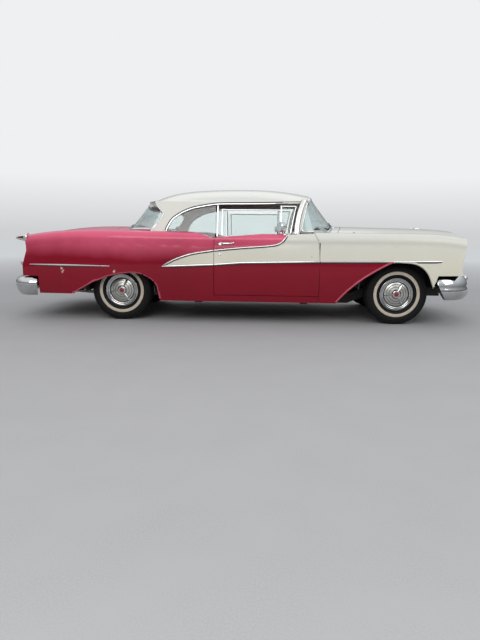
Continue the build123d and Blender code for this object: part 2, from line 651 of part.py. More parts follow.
def luggage_floor():
    """Kick-up under the rear seat, luggage floor and rear wheelhouses."""
    start = KICK_UP_X - SEAT_GAP
    floor = floor_sheet([(start, FLOOR_Z), (-960, 575), (-1750, 585), (-2000, 500), (-2450, 500)])
    floor = floor + tunnel_form(0, -900, start) - tunnel_form(-FLOOR_SHEET, -1000, 0)
    for side in (1, -1):
        y_low, y_high = sorted((side * (WELL_Y - WELL_SHEET), side * 890))
        well = ring_y(REAR_AXLE_X, 330, 400, 0, y_low, y_high) & block(-1900, -900, -1000, 1000, 330, 800)
        well &= BODY_INNER
        hollow_low, hollow_high = sorted((side * WELL_Y, side * 900))
        hollow = ring_y(REAR_AXLE_X, 330, 388, 0, hollow_low, hollow_high)
        floor = floor + well - hollow
        floor -= block(REAR_AXLE_X - 388, REAR_AXLE_X + 388, hollow_low, hollow_high, 250, 520)
        slot_low, slot_high = sorted((side * (WELL_Y - 32), side * (WELL_Y + 28)))
        floor -= block(REAR_AXLE_X - 90, REAR_AXLE_X + 90, slot_low, slot_high, 250, 450)
    return biggest(floor)


def rear_axle():
    """Axle tubes, differential, backing plates, half-shaft ends and the propeller shaft."""
    x, z = REAR_AXLE_X, HUB_Z
    result = ring_y(x, z, AXLE_TUBE, 0, -BACKPLATE_Y, BACKPLATE_Y)
    result += Pos(x, 0, z) * Sphere(140)
    for side in (1, -1):
        y_low, y_high = sorted((side * (BACKPLATE_Y - 4), side * (BACKPLATE_Y + 4)))
        result += ring_y(x, z, DRUM_RADIUS - 4, 0, y_low, y_high)
        y_low, y_high = sorted((side * BACKPLATE_Y, side * (TRACK_HALF + 40)))
        result += ring_y(x, z, HUB_BORE - SEAT_GAP, 0, y_low, y_high)
        y_low, y_high = sorted((side * (SPRING_Y - 30), side * (SPRING_Y + 30)))
        result += block(x - 60, x + 60, y_low, y_high, z - AXLE_TUBE - 6, z)
    result += rod((x, 0, z), (634, 0, 369), 38)
    return result


def leaf_springs():
    """Rear leaf springs with their pins to the frame."""
    low = HUB_Z - AXLE_TUBE - 6.8
    front, rear = (REAR_AXLE_X + 640, 300), (REAR_AXLE_X - 640, 300)
    y_low, y_high = SPRING_Y - 30, SPRING_Y + 30
    mid_top = (REAR_AXLE_X, low)
    upper = ThreePointArc((front[0], y_low, front[1]), (mid_top[0], y_low, mid_top[1]), (rear[0], y_low, rear[1]))
    lower = ThreePointArc((front[0], y_low, front[1] - 20), (mid_top[0], y_low, mid_top[1] - 44),
                          (rear[0], y_low, rear[1] - 20))
    ends = [Line(upper @ 0, lower @ 0), Line(upper @ 1, lower @ 1)]
    blade = extrude(Face(Wire([upper, lower] + ends)), amount=y_high - y_low, dir=(0, 1, 0))
    return blade


def spring_pair():
    """Both leaf springs, each with a hanger at its ends."""
    left = leaf_springs()
    outer = RAIL_Y + RAIL_WIDTH / 2 + SEAT_GAP
    left += ring_y(REAR_AXLE_X + 632, 288, 16, 0, outer, SPRING_Y + 30)
    left += block(REAR_AXLE_X + 602, REAR_AXLE_X + 662, outer, outer + 14, 220, 304)
    left += ring_y(REAR_AXLE_X - 632, 290, 14, 0, outer, SPRING_Y + 30)
    left += block(REAR_AXLE_X - 652, REAR_AXLE_X - 612, outer, outer + 14, 276, 420)
    return Compound(children=[left, other_side(left)])


def exhaust():
    """Exhaust pipe, silencer and tail pipe on the right."""
    y = EXHAUST_Y
    points = [(1250, y, 300), (1000, y, 205), (-780, y, 205), (-1120, y, 450), (-1720, y, 450),
              (-2050, y, 290), (-2520, y - 30, 262)]
    path = FilletPolyline(*points, radius=130)
    pipe = sweep(Plane(origin=points[0], z_dir=path % 0) * Circle(26), path=path)
    silencer_place = Plane(origin=(-500, y, 205), x_dir=(0, 1, 0), z_dir=(1, 0, 0))
    silencer = silencer_place * extrude(Ellipse(88, 52), amount=560)
    result = pipe + silencer
    for x in (420, -700):
        result += block(x - 15, x + 15, y - 12, y + 12, 205, 242 - SEAT_GAP)
    return result


def fuel_tank():
    """The fuel tank behind the axle."""
    tank = block(-2240, -1900, -190, 330, 330, 500 - FLOOR_SHEET - SEAT_GAP)
    return fillet(tank.edges().filter_by(Axis.Y), 30)


def engine():
    """The engine and gearbox as one plain mass."""
    outline = [(-150, 330), (150, 330), (170, 470), (300, 640), (250, 800), (120, 860), (-120, 860),
               (-250, 800), (-300, 640), (-170, 470)]
    block_mass = prism_x(outline, 1270, 1980)
    gearbox = Plane(origin=(640, 0, 370), z_dir=(1, 0, 0)) * Cylinder(
        72, 640, align=(Align.CENTER, Align.CENTER, Align.MIN))
    filter_drum = Pos(1680, 0, 880) * Cylinder(190, 90)
    mounts = block(1530, 1600, -RAIL_Y, RAIL_Y, RAIL_TOP + SEAT_GAP, RAIL_TOP + 40)
    return block_mass + gearbox + filter_drum + mounts


def radiator():
    """The radiator in its support panel."""
    core = block(2150, 2210, -330, 330, 412, 900)
    support = block(2150, 2166, -414, 414, RAIL_TOP + SEAT_GAP, 880)
    return core + support


def mouth(height, width, x_low, x_high):
    """The oval form of the grille's opening."""
    shape = Plane(origin=(x_low, 0, 720), x_dir=(0, 1, 0), z_dir=(1, 0, 0))
    return shape * extrude(SlotOverall(width, height), amount=x_high - x_low)


def front_panel():
    """The panel that carries the grille between the fenders."""
    panel = block(2366, 2380 - SEAT_GAP, -SEAM_Y, SEAM_Y, 470, 885)
    return panel - mouth(262, 2 * SEAM_Y - 58, 2300, 2400)


def grille():
    """The oval mouth with its horizontal bars."""
    surround = mouth(320, 2 * SEAM_Y, 2380, 2455) - mouth(262, 2 * SEAM_Y - 58, 2380, 2455)
    result = surround
    for z in (640, 680, 720, 760, 800):
        result += block(2400, 2425, -SEAM_Y, SEAM_Y, z - 7, z + 7) & mouth(300, 2 * SEAM_Y - 20, 2380, 2455)
    for y in (-380, -190, 0, 190, 380):
        result += block(2392, 2402, y - 6, y + 6, 580, 860)
    return result


def headlamps():
    """The sealed headlamps in their bezels."""
    lamp = Plane(origin=(2330, LAMP_Y, LAMP_Z), z_dir=(1, 0, 0)) * (
        Cylinder(98 - SEAT_GAP, 76, align=(Align.CENTER, Align.CENTER, Align.MIN)))
    lens = Plane(origin=(2406, LAMP_Y, LAMP_Z), z_dir=(1, 0, 0)) * Cylinder(
        86, 8, align=(Align.CENTER, Align.CENTER, Align.MIN))
    left = lamp + lens
    return Compound(children=[left, other_side(left)])


def tail_lamps():
    """The pointed tail lamp housings on the rear fender ends."""
    sections = [
        Plane(origin=(-2424, 850, 925), x_dir=(0, 1, 0), z_dir=(-1, 0, 0)) * Ellipse(50, 48),
        Plane(origin=(-2510, 846, 924), x_dir=(0, 1, 0), z_dir=(-1, 0, 0)) * Ellipse(40, 31),
        Plane(origin=(-2566, 842, 915), x_dir=(0, 1, 0), z_dir=(-1, 0, 0)) * Ellipse(12, 7)]
    left = loft(sections)
    left = biggest(left - (BODY_OUTER & nose_profile(0)))
    return Compound(children=[left, other_side(left)])


def front_seat():
    """The front bench."""
    low = FLOOR_Z + SEAT_GAP
    cushion = prism_y([(-150, low), (370, low), (385, 540), (370, 560), (-170, 500)], -690, 690)
    back = prism_y([(-165, low), (-310, low), (-400, 880), (-290, 890), (-175, 500)], -690, 690)
    tunnel = tunnel_form(SEAT_GAP, -1000, 1000)
    return Compound(children=[cushion - tunnel, back - tunnel])


def rear_seat():
    """The rear bench."""
    low = FLOOR_Z + SEAT_GAP
    cushion = prism_y([(-770, low), (-520, low), (-490, 500), (-520, 530), (-890, 515.7)], -700, 700)
    back = prism_y([(-905, 580), (-1080, 930), (-990, 930), (-780, 535), (-890, 516)], 17 - WELL_Y, WELL_Y - 17)
    tunnel = tunnel_form(SEAT_GAP, -1000, 1000)
    return Compound(children=[cushion - tunnel, back])


def dashboard():
    """The instrument panel."""
    back = CABIN_FRONT_X - SEAT_GAP
    outline = [(back, 985), (690, 985), (640, 940), (650, 860), (690, 790), (760, 770), (760, 800),
               (back, 860)]
    half = EAR_INNER_Y - SEAT_GAP
    ears = block(895, 1100, 499.7, 900, 900, 965) + block(895, 1100, -900, -499.7, 900, 965)
    return biggest((prism_y(outline, -half, half) & BODY_SEAT) - ears)


def column_axis():
    """The column's start on the bulkhead and its unit direction towards the driver."""
    foot = Vector(COLUMN_FOOT_X, COLUMN_Y, COLUMN_FOOT_Z)
    head = Vector(STEERING_WHEEL_X, COLUMN_Y, STEERING_WHEEL_Z)
    return foot, head, (head - foot).normalized()


def steering_column():
    """The fixed tube round the steering shaft."""
    foot, head, along = column_axis()
    end = head - along * 36
    tube = rod(foot, end, 28) - rod(foot, head + along * 5, 12)
    gap = SEAT_GAP * 2
    beyond = prism_y([(1038 - gap, 620), (900 - gap, FLOOR_Z), (1300, FLOOR_Z), (1300, 620)], 200, 600)
    return biggest(tube - beyond)


def steering_wheel():
    """Rim, two spokes, boss and shaft stub."""
    foot, head, along = column_axis()
    place = Plane(origin=head, x_dir=(0, 1, 0), z_dir=along)
    rim = Torus(STEERING_WHEEL_RADIUS, 11)
    boss = Pos(0, 0, -14) * Cylinder(36, 40)
    spokes = Pos(0, 0, -8) * Box(2 * STEERING_WHEEL_RADIUS, 22, 10)
    shaft = Pos(0, 0, -120) * Cylinder(11.7, 240)
    return place * (rim + boss + spokes + shaft)


def export(name, shape):
    """Write one node."""
    export_step(shape, os.path.join("parts", name + ".step"))


def main():
    os.makedirs("parts", exist_ok=True)
    pairs = {"fender": fender(), "quarter": quarter(), "door": door(), "door_glass": door_glass(),
             "knuckle": knuckle()}
    for name, left in pairs.items():
        export(name + "_left", left)
        export(name + "_right", other_side(left))
    for end_name, x in (("front", FRONT_AXLE_X), ("rear", REAR_AXLE_X)):
        for side_name, side in (("left", 1), ("right", -1)):
            for piece_name, piece in (("tyre", tyre(TRACK_HALF)), ("wheel", wheel(TRACK_HALF))):
                placed = Pos(x, 0, HUB_Z) * piece
                export(f"{piece_name}_{end_name}_{side_name}", placed if side > 0 else other_side(placed))
    left_quarter = pairs["quarter"]
    cowl_panel = cowl()
    rear_shelf = parcel_shelf()
    roof_panel = roof([left_quarter, other_side(left_quarter), cowl_panel, rear_shelf])
    export("roof", roof_panel)
    export("hood", hood())
    export("deck_lid", deck_lid())
    export("rear_panel", rear_panel())
    export("parcel_shelf", rear_shelf)
    export("cowl", cowl_panel)
    export("rockers", rockers())
    windshield = glass_strip((1125, (930, 650), (632, 796), 1000), (800, (750, 560), (719, 652), 1400))
    above = prism_x([(-1000, 1300), (-640, 1364), (-320, 1418), (0, 1434), (320, 1418), (640, 1364),
                     (1000, 1300), (1000, 1700), (-1000, 1700)], 600, 900)
    export("windshield", biggest(windshield - BODY_OUTER - roof_panel - above))
    back_glass = glass_strip((-1435, (-1320, 560), (-930, 764), 1010), (-1135, (-1080, 520), (-885, 660), 1340))
    export("rear_window", biggest(back_glass - BODY_OUTER - roof_panel))
    export("quarter_glass", quarter_glass(roof_panel))
    export("front_bumper", bumper(((2125, 948), (2548, 700), 2645), (262, 100, 424), (-560, 560),
                                  (2330 + SEAT_GAP, 2550, 320, 370),
                                  [(2000, 250), (2240, 250), (2226, 294), (2168, 384), (2128, 480), (2152, 540),
                                   (2152, 620), (2000, 620)]))
    export("rear_bumper", bumper(((-2300, 942), (-2620, 770), -2645), (206, 100, 382), (-560, 560),
                                 (-2440 - SEAT_GAP, -2570, 360, 410),
                                 [(-2250, 200), (-2306, 200), (-2306, 440), (-2316, 470), (-2340, 520), (-2250, 520)]))
    export("front_panel", front_panel())
    export("grille", grille())
    export("headlamps", headlamps())
    export("tail_lamps", tail_lamps())
    export("front_seat", front_seat())
    export("rear_seat", rear_seat())
    export("dashboard", dashboard())
    export("steering_column", steering_column())
    export("steering_wheel", steering_wheel())
    export("engine", engine())
    export("radiator", radiator())
    export("frame", frame())
    export("floor_pan", floor_pan())
    export("luggage_floor", luggage_floor())
    export("front_suspension", front_suspension())
    export("rear_axle", rear_axle())
    export("leaf_springs", spring_pair())
    export("exhaust", exhaust())
    export("fuel_tank", fuel_tank())


main()
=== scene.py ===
"""The finish, trim, glass, wheels and cabin of a two-door hardtop of the middle 1950s."""

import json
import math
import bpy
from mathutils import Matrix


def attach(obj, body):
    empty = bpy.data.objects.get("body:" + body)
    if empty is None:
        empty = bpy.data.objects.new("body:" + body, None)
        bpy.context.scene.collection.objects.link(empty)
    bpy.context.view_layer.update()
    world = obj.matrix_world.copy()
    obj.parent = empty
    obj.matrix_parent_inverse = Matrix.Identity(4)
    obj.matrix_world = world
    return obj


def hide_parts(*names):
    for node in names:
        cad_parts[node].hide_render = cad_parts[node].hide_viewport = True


bl_info = {
    "name": "Two-tone hardtop saloon",
    "version": (1, 0, 0),
    "blender": (4, 5, 0),
    "location": "3D View > Sidebar > Saloon",
    "description": "Dresses the packed car with paint, chrome, glass, wheels and a cabin",
    "category": "Object",
}

import bmesh
import bpy
from mathutils import Matrix, Vector
from mathutils.bvhtree import BVHTree

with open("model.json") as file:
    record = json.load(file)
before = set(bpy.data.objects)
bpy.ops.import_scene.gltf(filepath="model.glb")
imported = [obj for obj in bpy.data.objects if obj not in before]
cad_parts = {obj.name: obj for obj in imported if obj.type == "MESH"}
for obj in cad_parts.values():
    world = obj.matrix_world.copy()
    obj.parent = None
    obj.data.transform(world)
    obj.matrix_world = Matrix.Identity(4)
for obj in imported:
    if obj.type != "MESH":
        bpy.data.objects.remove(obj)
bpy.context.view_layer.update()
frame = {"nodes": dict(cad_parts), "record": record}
NODES = frame["nodes"]
BODY_OF = {node: body for body, members in frame["record"]["behaviour"]["bodies"].items() for node in members}
SIDES = {"left": 1, "right": -1}
AXLES = {"front": 1.724, "rear": -1.375}
HUB_Z = 0.340
TRACK_HALF = 0.730
# Distance between the seams of the benches and their cloth
PLEAT = 0.070


# Shader helpers

def add(tree, kind, inputs=None, **props):
    """A node with its properties and input values set; an input given as a socket is linked."""
    node = tree.nodes.new(kind)
    for key, value in props.items():
        setattr(node, key, value)
    for key, value in (inputs or {}).items():
        if isinstance(value, bpy.types.NodeSocket):
            tree.links.new(value, node.inputs[key])
        else:
            node.inputs[key].default_value = value
    return node


def maths(tree, operation, first, second=0.0, clamp=False):
    """One Math node's result."""
    node = add(tree, "ShaderNodeMath", {0: first, 1: second}, operation=operation, use_clamp=clamp)
    return node.outputs[0]


def ramp(tree, value, low, high, out_low=0.0, out_high=1.0):
    """A clamped linear change of range."""
    node = add(tree, "ShaderNodeMapRange", {"Value": value, "From Min": low, "From Max": high,
                                            "To Min": out_low, "To Max": out_high})
    return node.outputs["Result"]


def mix_colour(tree, factor, first, second, blend="MIX"):
    """A colour between two others."""
    node = add(tree, "ShaderNodeMix", {0: factor, 6: first, 7: second}, data_type="RGBA", blend_type=blend)
    return node.outputs[2]


def noise(tree, vector, scale, detail=3.0, rough=0.55):
    """The value of a noise texture."""
    node = add(tree, "ShaderNodeTexNoise", {"Vector": vector, "Scale": scale, "Detail": detail,
                                            "Roughness": rough})
    return node.outputs["Fac"]


def start_group(name, inputs, outputs):
    """An empty shader node group with its named sockets."""
    tree = bpy.data.node_groups.new(name, "ShaderNodeTree")
    kinds = {"value": "NodeSocketFloat", "colour": "NodeSocketColor", "vector": "NodeSocketVector"}
    for label, kind, default in inputs:
        socket = tree.interface.new_socket(label, in_out="INPUT", socket_type=kinds[kind])
        if default is not None:
            socket.default_value = default
    for label, kind in outputs:
        tree.interface.new_socket(label, in_out="OUTPUT", socket_type=kinds[kind])
    return tree, tree.nodes.new("NodeGroupInput").outputs, tree.nodes.new("NodeGroupOutput").inputs


def use_group(tree, name, inputs):
    """A node group placed in a material, with its outputs."""
    node = tree.nodes.new("ShaderNodeGroup")
    node.node_tree = bpy.data.node_groups[name]
    for key, value in inputs.items():
        if isinstance(value, bpy.types.NodeSocket):
            tree.links.new(value, node.inputs[key])
        else:
            node.inputs[key].default_value = value
    return node.outputs


def start_material(name, **values):
    """A material with its Principled BSDF set and an Object coordinate."""
    material = bpy.data.materials.new(name)
    material.use_nodes = True
    tree = material.node_tree
    shader = tree.nodes["Principled BSDF"]
    for key, value in values.items():
        shader.inputs[key.replace("_", " ")].default_value = value
    place = tree.nodes.new("ShaderNodeTexCoord").outputs["Object"]
    return material, tree, shader, place


def bump(tree, shader, height, strength, distance):
    """A bump that feeds the shader's normal."""
    node = add(tree, "ShaderNodeBump", {"Height": height, "Strength": strength, "Distance": distance})
    tree.links.new(node.outputs["Normal"], shader.inputs["Normal"])


# Effects that several finishes share

def make_road_film_group():
    """Dust that settles low down and in patches, as a mask; on chrome it also places a painted dark
    reflection low down.
    """
    tree, given, result = start_group(
        "Low dust and darkening", [("Place", "vector", None), ("Reach", "value", 0.6), ("Amount", "value", 0.3)],
        [("Mask", "value")])
    height = add(tree, "ShaderNodeSeparateXYZ", {0: given["Place"]}).outputs["Z"]
    low = maths(tree, "SUBTRACT", 1.0, maths(tree, "DIVIDE", height, given["Reach"], True), True)
    patches = ramp(tree, noise(tree, given["Place"], 6.0, 5.0), 0.3, 0.7, 0.35, 1.0)
    speckle = ramp(tree, noise(tree, given["Place"], 90.0, 2.0), 0.4, 0.75, 0.6, 1.0)
    film = maths(tree, "MULTIPLY", maths(tree, "MULTIPLY", low, patches), speckle)
    tree.links.new(maths(tree, "MULTIPLY", film, given["Amount"], True), result["Mask"])


def make_aged_paint_group():
    """Paint darker in patches and, high up, mixed to its sunlit colour: painted top light and sun fade; with
    pinholes, swirls and a dull film low down.
    """
    tree, given, result = start_group(
        "Aged paint", [("Place", "vector", None), ("Colour", "colour", None), ("Sunlit and bleached", "colour", None),
                       ("Dust", "colour", None), ("Film", "value", 0.25), ("Fade", "value", 0.25)],
        [("Colour", "colour"), ("Roughness", "value"), ("Height", "value")])
    tone = ramp(tree, noise(tree, given["Place"], 1.7, 4.0), 0.25, 0.75)
    darker = mix_colour(tree, 1.0, given["Colour"], (0.78, 0.74, 0.74, 1), "MULTIPLY")
    patchy = mix_colour(tree, maths(tree, "MULTIPLY", tone, given["Fade"]), given["Colour"], darker)
    height = add(tree, "ShaderNodeSeparateXYZ", {0: given["Place"]}).outputs["Z"]
    level = maths(tree, "ADD", height,
                  ramp(tree, noise(tree, given["Place"], 1.3, 3.0), 0.3, 0.7, -0.05, 0.05))
    # Painted top light and sun fade: from 0.70 m up the paint turns to its sunlit, bleached colour.
    sun = ramp(tree, level, 0.70, 0.97)
    sunlit_mix = mix_colour(tree, sun, patchy, given["Sunlit and bleached"])
    film = tree.nodes.new("ShaderNodeGroup")
    film.node_tree = bpy.data.node_groups["Low dust and darkening"]
    tree.links.new(given["Place"], film.inputs["Place"])
    tree.links.new(given["Film"], film.inputs["Amount"])
    film.inputs["Reach"].default_value = 0.62
    dusty = mix_colour(tree, film.outputs["Mask"], sunlit_mix, given["Dust"])
    pits = ramp(tree, noise(tree, given["Place"], 420.0, 1.0), 0.79, 0.82)
    spotted = mix_colour(tree, maths(tree, "MULTIPLY", pits, 0.5), dusty, (0.09, 0.06, 0.055, 1))
    tree.links.new(spotted, result["Colour"])
    swirl = ramp(tree, noise(tree, given["Place"], 9.0, 6.0, 0.7), 0.3, 0.75, 0.27, 0.33)
    rough = maths(tree, "ADD", swirl, maths(tree, "MULTIPLY", film.outputs["Mask"], 0.8), True)
    tree.links.new(rough, result["Roughness"])
    wave = noise(tree, given["Place"], 2.6, 2.0, 0.4)
    peel = maths(tree, "MULTIPLY", noise(tree, given["Place"], 260.0, 1.0), 0.012)
    tree.links.new(maths(tree, "ADD", wave, peel), result["Height"])


def make_chip_group():
    """A ragged chip round one point, as a mask."""
    tree, given, result = start_group(
        "Paint chip", [("Place", "vector", None), ("Centre", "vector", None), ("Size", "value", 0.02),
                       ("Ragged", "value", 60.0)],
        [("Mask", "value")])
    offset = add(tree, "ShaderNodeVectorMath", {0: given["Place"], 1: given["Centre"]}, operation="DISTANCE")
    wander = maths(tree, "MULTIPLY",
                   maths(tree, "SUBTRACT", noise(tree, given["Place"], given["Ragged"], 3.0), 0.5),
                   maths(tree, "MULTIPLY", given["Size"], 3.2))
    reach = maths(tree, "ADD", offset.outputs["Value"], wander)
    tree.links.new(maths(tree, "LESS_THAN", reach, given["Size"]), result["Mask"])


def make_worn_metal_group():
    """Plated or bare metal with clouded patches and fine pits."""
    tree, given, result = start_group(
        "Worn metal", [("Place", "vector", None), ("Colour", "colour", None), ("Stain", "colour", None),
                       ("Smooth", "value", 0.06), ("Dull", "value", 0.25), ("Wear", "value", 0.3),
                       ("Soil and dark reflection", "value", 0.0)],
        [("Colour", "colour"), ("Roughness", "value"), ("Height", "value")])
    cloud = ramp(tree, noise(tree, given["Place"], 14.0, 6.0, 0.65), 0.42, 0.72)
    pits = ramp(tree, noise(tree, given["Place"], 340.0, 2.0), 0.68, 0.76)
    wear = maths(tree, "MULTIPLY", maths(tree, "MAXIMUM", maths(tree, "MULTIPLY", cloud, 0.5), pits),
                 given["Wear"], True)
    # A dark colour mixed in low down: road soil, and on chrome a painted dark reflection of the ground.
    film = tree.nodes.new("ShaderNodeGroup")
    film.node_tree = bpy.data.node_groups["Low dust and darkening"]
    tree.links.new(given["Place"], film.inputs["Place"])
    tree.links.new(given["Soil and dark reflection"], film.inputs["Amount"])
    film.inputs["Reach"].default_value = 0.75
    worn = mix_colour(tree, wear, given["Colour"], given["Stain"])
    tree.links.new(mix_colour(tree, film.outputs["Mask"], worn, (0.10, 0.095, 0.09, 1)), result["Colour"])
    spread = maths(tree, "SUBTRACT", given["Dull"], given["Smooth"])
    dulled = maths(tree, "MAXIMUM", wear, maths(tree, "MULTIPLY", film.outputs["Mask"], 0.7))
    rough = maths(tree, "ADD", given["Smooth"], maths(tree, "MULTIPLY", dulled, spread), True)
    tree.links.new(rough, result["Roughness"])
    tree.links.new(maths(tree, "SUBTRACT", noise(tree, given["Place"], 3.0, 2.0),
                         maths(tree, "MULTIPLY", pits, 0.02)), result["Height"])


def make_grain_group():
    """Leather-like grain for vinyl and rubber, as a height."""
    tree, given, result = start_group(
        "Pressed grain", [("Place", "vector", None), ("Scale", "value", 400.0)],
        [("Height", "value"), ("Mask", "value")])
    cells = add(tree, "ShaderNodeTexVoronoi", {"Vector": given["Place"], "Scale": given["Scale"]},
                feature="DISTANCE_TO_EDGE")
    pebbles = ramp(tree, cells.outputs["Distance"], 0.0, 0.25)
    tree.links.new(pebbles, result["Height"])
    tree.links.new(maths(tree, "SUBTRACT", 1.0, pebbles), result["Mask"])


# Where the cream spear lies on the car's sides: rows of x and the height of its lower and upper edge
LOWER_EDGE = [(-0.900, 1.20), (-0.8745, 0.627), (-0.2975, 0.655), (-0.0165, 0.678), (0.8435, 0.700),
              (1.640, 0.710), (1.660, 0.200), (2.600, 0.200)]
UPPER_EDGE = [(-0.900, 0.620), (-0.8745, 0.629), (-0.7175, 0.712), (-0.5485, 0.768), (-0.2975, 0.809),
              (-0.0185, 0.837), (0.3125, 0.865), (0.4105, 0.891), (0.4585, 0.932), (0.4845, 0.976),
              (0.4900, 1.300), (2.600, 1.300)]
EDGE_X = (-0.900, 2.600)
EDGE_Z = (0.200, 1.300)


def edge_curve(tree, along, points):
    """The height of a colour edge at a place along the car."""
    node = add(tree, "ShaderNodeFloatCurve", {"Value": ramp(tree, along, *EDGE_X)})
    curve = node.mapping.curves[0]
    rows = [((x - EDGE_X[0]) / (EDGE_X[1] - EDGE_X[0]), (z - EDGE_Z[0]) / (EDGE_Z[1] - EDGE_Z[0]))
            for x, z in points]
    curve.points[0].location = rows[0]
    curve.points[1].location = rows[-1]
    for row in rows[1:-1]:
        curve.points.new(*row)
    for point in curve.points:
        point.handle_type = "VECTOR"
    node.mapping.update()
    return ramp(tree, node.outputs["Value"], 0.0, 1.0, *EDGE_Z)


def make_colour_break_group():
    """The mask of the cream spear and front fender on the car's sides."""
    tree, given, result = start_group("Colour break", [("Place", "vector", None)], [("Cream", "value")])
    split = add(tree, "ShaderNodeSeparateXYZ", {0: given["Place"]}).outputs
    above = maths(tree, "GREATER_THAN", split["Z"], edge_curve(tree, split["X"], LOWER_EDGE))
    below = maths(tree, "LESS_THAN", split["Z"], edge_curve(tree, split["X"], UPPER_EDGE))
    behind = maths(tree, "GREATER_THAN", split["X"], -0.890)
    tree.links.new(maths(tree, "MULTIPLY", maths(tree, "MULTIPLY", above, below), behind), result["Cream"])


# Finishes

def make_paint(name, colours, bleached, film=0.13, fade=0.5, dust=(0.07, 0.03, 0.028), chips=()):
    """Gloss paint of one colour, or two where a second is given."""
    material, tree, shader, place = start_material(name, Coat_Weight=0.6, Coat_Roughness=0.07, Coat_IOR=1.4,
                                                   Specular_IOR_Level=0.1)
    # The bleached colours are each paint's colour high up: painted top light as well as sun fade.
    colour, pale = (*colours[0], 1), (*bleached[0], 1)
    if len(colours) == 2:
        cream = use_group(tree, "Colour break", {"Place": place})["Cream"]
        colour = mix_colour(tree, cream, colour, (*colours[1], 1))
        pale = mix_colour(tree, cream, pale, (*bleached[1], 1))
    paint = use_group(tree, "Aged paint",
                      {"Place": place, "Colour": colour, "Sunlit and bleached": pale, "Dust": (*dust, 1),
                                           "Film": film, "Fade": fade})
    shown, rough = paint["Colour"], paint["Roughness"]
    for centre, size, ragged, bare in chips:
        mask = use_group(tree, "Paint chip", {"Place": place, "Centre": centre, "Size": size,
                                              "Ragged": ragged})["Mask"]
        shown = mix_colour(tree, mask, shown, (*bare, 1))
        rough = maths(tree, "MAXIMUM", rough, maths(tree, "MULTIPLY", mask, 0.6))
    tree.links.new(shown, shader.inputs["Base Color"])
    tree.links.new(rough, shader.inputs["Roughness"])
    bump(tree, shader, paint["Height"], 0.05, 0.004)
    return material


def make_metal(name, colour, stain, smooth, dull, wear, strength=0.05, soil_and_reflection=0.0, **values):
    """Plated or bare metal."""
    material, tree, shader, place = start_material(name, Metallic=1.0, **values)
    worn = use_group(tree, "Worn metal", {"Place": place, "Colour": (*colour, 1), "Stain": (*stain, 1),
                                          "Smooth": smooth, "Dull": dull, "Wear": wear, "Soil and dark reflection": soil_and_reflection})
    tree.links.new(worn["Colour"], shader.inputs["Base Color"])
    tree.links.new(worn["Roughness"], shader.inputs["Roughness"])
    bump(tree, shader, worn["Height"], strength, 0.004)
    return material


def make_glass(name, colour, smear=0.02):
    """Window glass with a faint film."""
    material, tree, shader, place = start_material(name, Transmission_Weight=1.0, IOR=1.45)
    shader.inputs["Base Color"].default_value = (*colour, 1)
    film = ramp(tree, noise(tree, place, 5.0, 5.0), 0.35, 0.75, 0.0, smear)
    tree.links.new(film, shader.inputs["Roughness"])
    return material


def make_rubber(name, colour, grain=300.0, film=0.5, reach=0.75, dust=(0.10, 0.09, 0.08), gloss=0.5):
    """Tyre or seal rubber with a dusty bloom."""
    material, tree, shader, place = start_material(name, Specular_IOR_Level=gloss)
    tone = ramp(tree, noise(tree, place, 30.0, 4.0), 0.3, 0.7, 0.0, 0.35)
    base = mix_colour(tree, tone, (*colour, 1), (*[c * 1.6 for c in colour], 1))
    mask = use_group(tree, "Low dust and darkening", {"Place": place, "Reach": reach, "Amount": film})["Mask"]
    tree.links.new(mix_colour(tree, mask, base, (*dust, 1)), shader.inputs["Base Color"])
    tree.links.new(ramp(tree, noise(tree, place, 60.0, 3.0), 0.3, 0.7, 0.55, 0.8), shader.inputs["Roughness"])
    pebble = use_group(tree, "Pressed grain", {"Place": place, "Scale": grain})["Height"]
    bump(tree, shader, pebble, 0.15, 0.001)
    return material


def make_vinyl(name, colour, sheen=0.2, scale=420.0):
    """Seat and trim vinyl with a pressed grain and soiling in the creases."""
    material, tree, shader, place = start_material(name, Sheen_Weight=sheen, Coat_Weight=0.1,
                                                   Coat_Roughness=0.35)
    grain = use_group(tree, "Pressed grain", {"Place": place, "Scale": scale})
    worn = ramp(tree, noise(tree, place, 7.0, 5.0), 0.35, 0.7)
    soiled = mix_colour(tree, maths(tree, "MULTIPLY", worn, 0.35), (*colour, 1),
                        (*[c * 0.55 for c in colour], 1))
    dark = mix_colour(tree, maths(tree, "MULTIPLY", grain["Mask"], 0.4), soiled,
                      (*[c * 0.4 for c in colour], 1))
    tree.links.new(dark, shader.inputs["Base Color"])
    tree.links.new(ramp(tree, worn, 0.0, 1.0, 0.38, 0.58), shader.inputs["Roughness"])
    bump(tree, shader, grain["Height"], 0.3, 0.0008)
    return material


def make_weave(name, colour, second, scale=700.0):
    """Woven cloth or carpet."""
    material, tree, shader, place = start_material(name, Roughness=0.9, Sheen_Weight=0.3)
    warp = add(tree, "ShaderNodeTexWave", {"Vector": place, "Scale": scale, "Distortion": 1.5,
                                           "Detail Scale": 2.0}, bands_direction="X").outputs["Fac"]
    weft = add(tree, "ShaderNodeTexWave", {"Vector": place, "Scale": scale, "Distortion": 1.5,
                                           "Detail Scale": 2.0}, bands_direction="Y").outputs["Fac"]
    both = maths(tree, "MULTIPLY", warp, weft)
    fleck = noise(tree, place, 160.0, 3.0)
    mixed = mix_colour(tree, ramp(tree, maths(tree, "ADD", both, fleck), 0.4, 1.3), (*colour, 1),
                       (*second, 1))
    tree.links.new(mixed, shader.inputs["Base Color"])
    bump(tree, shader, both, 0.4, 0.001)
    return material


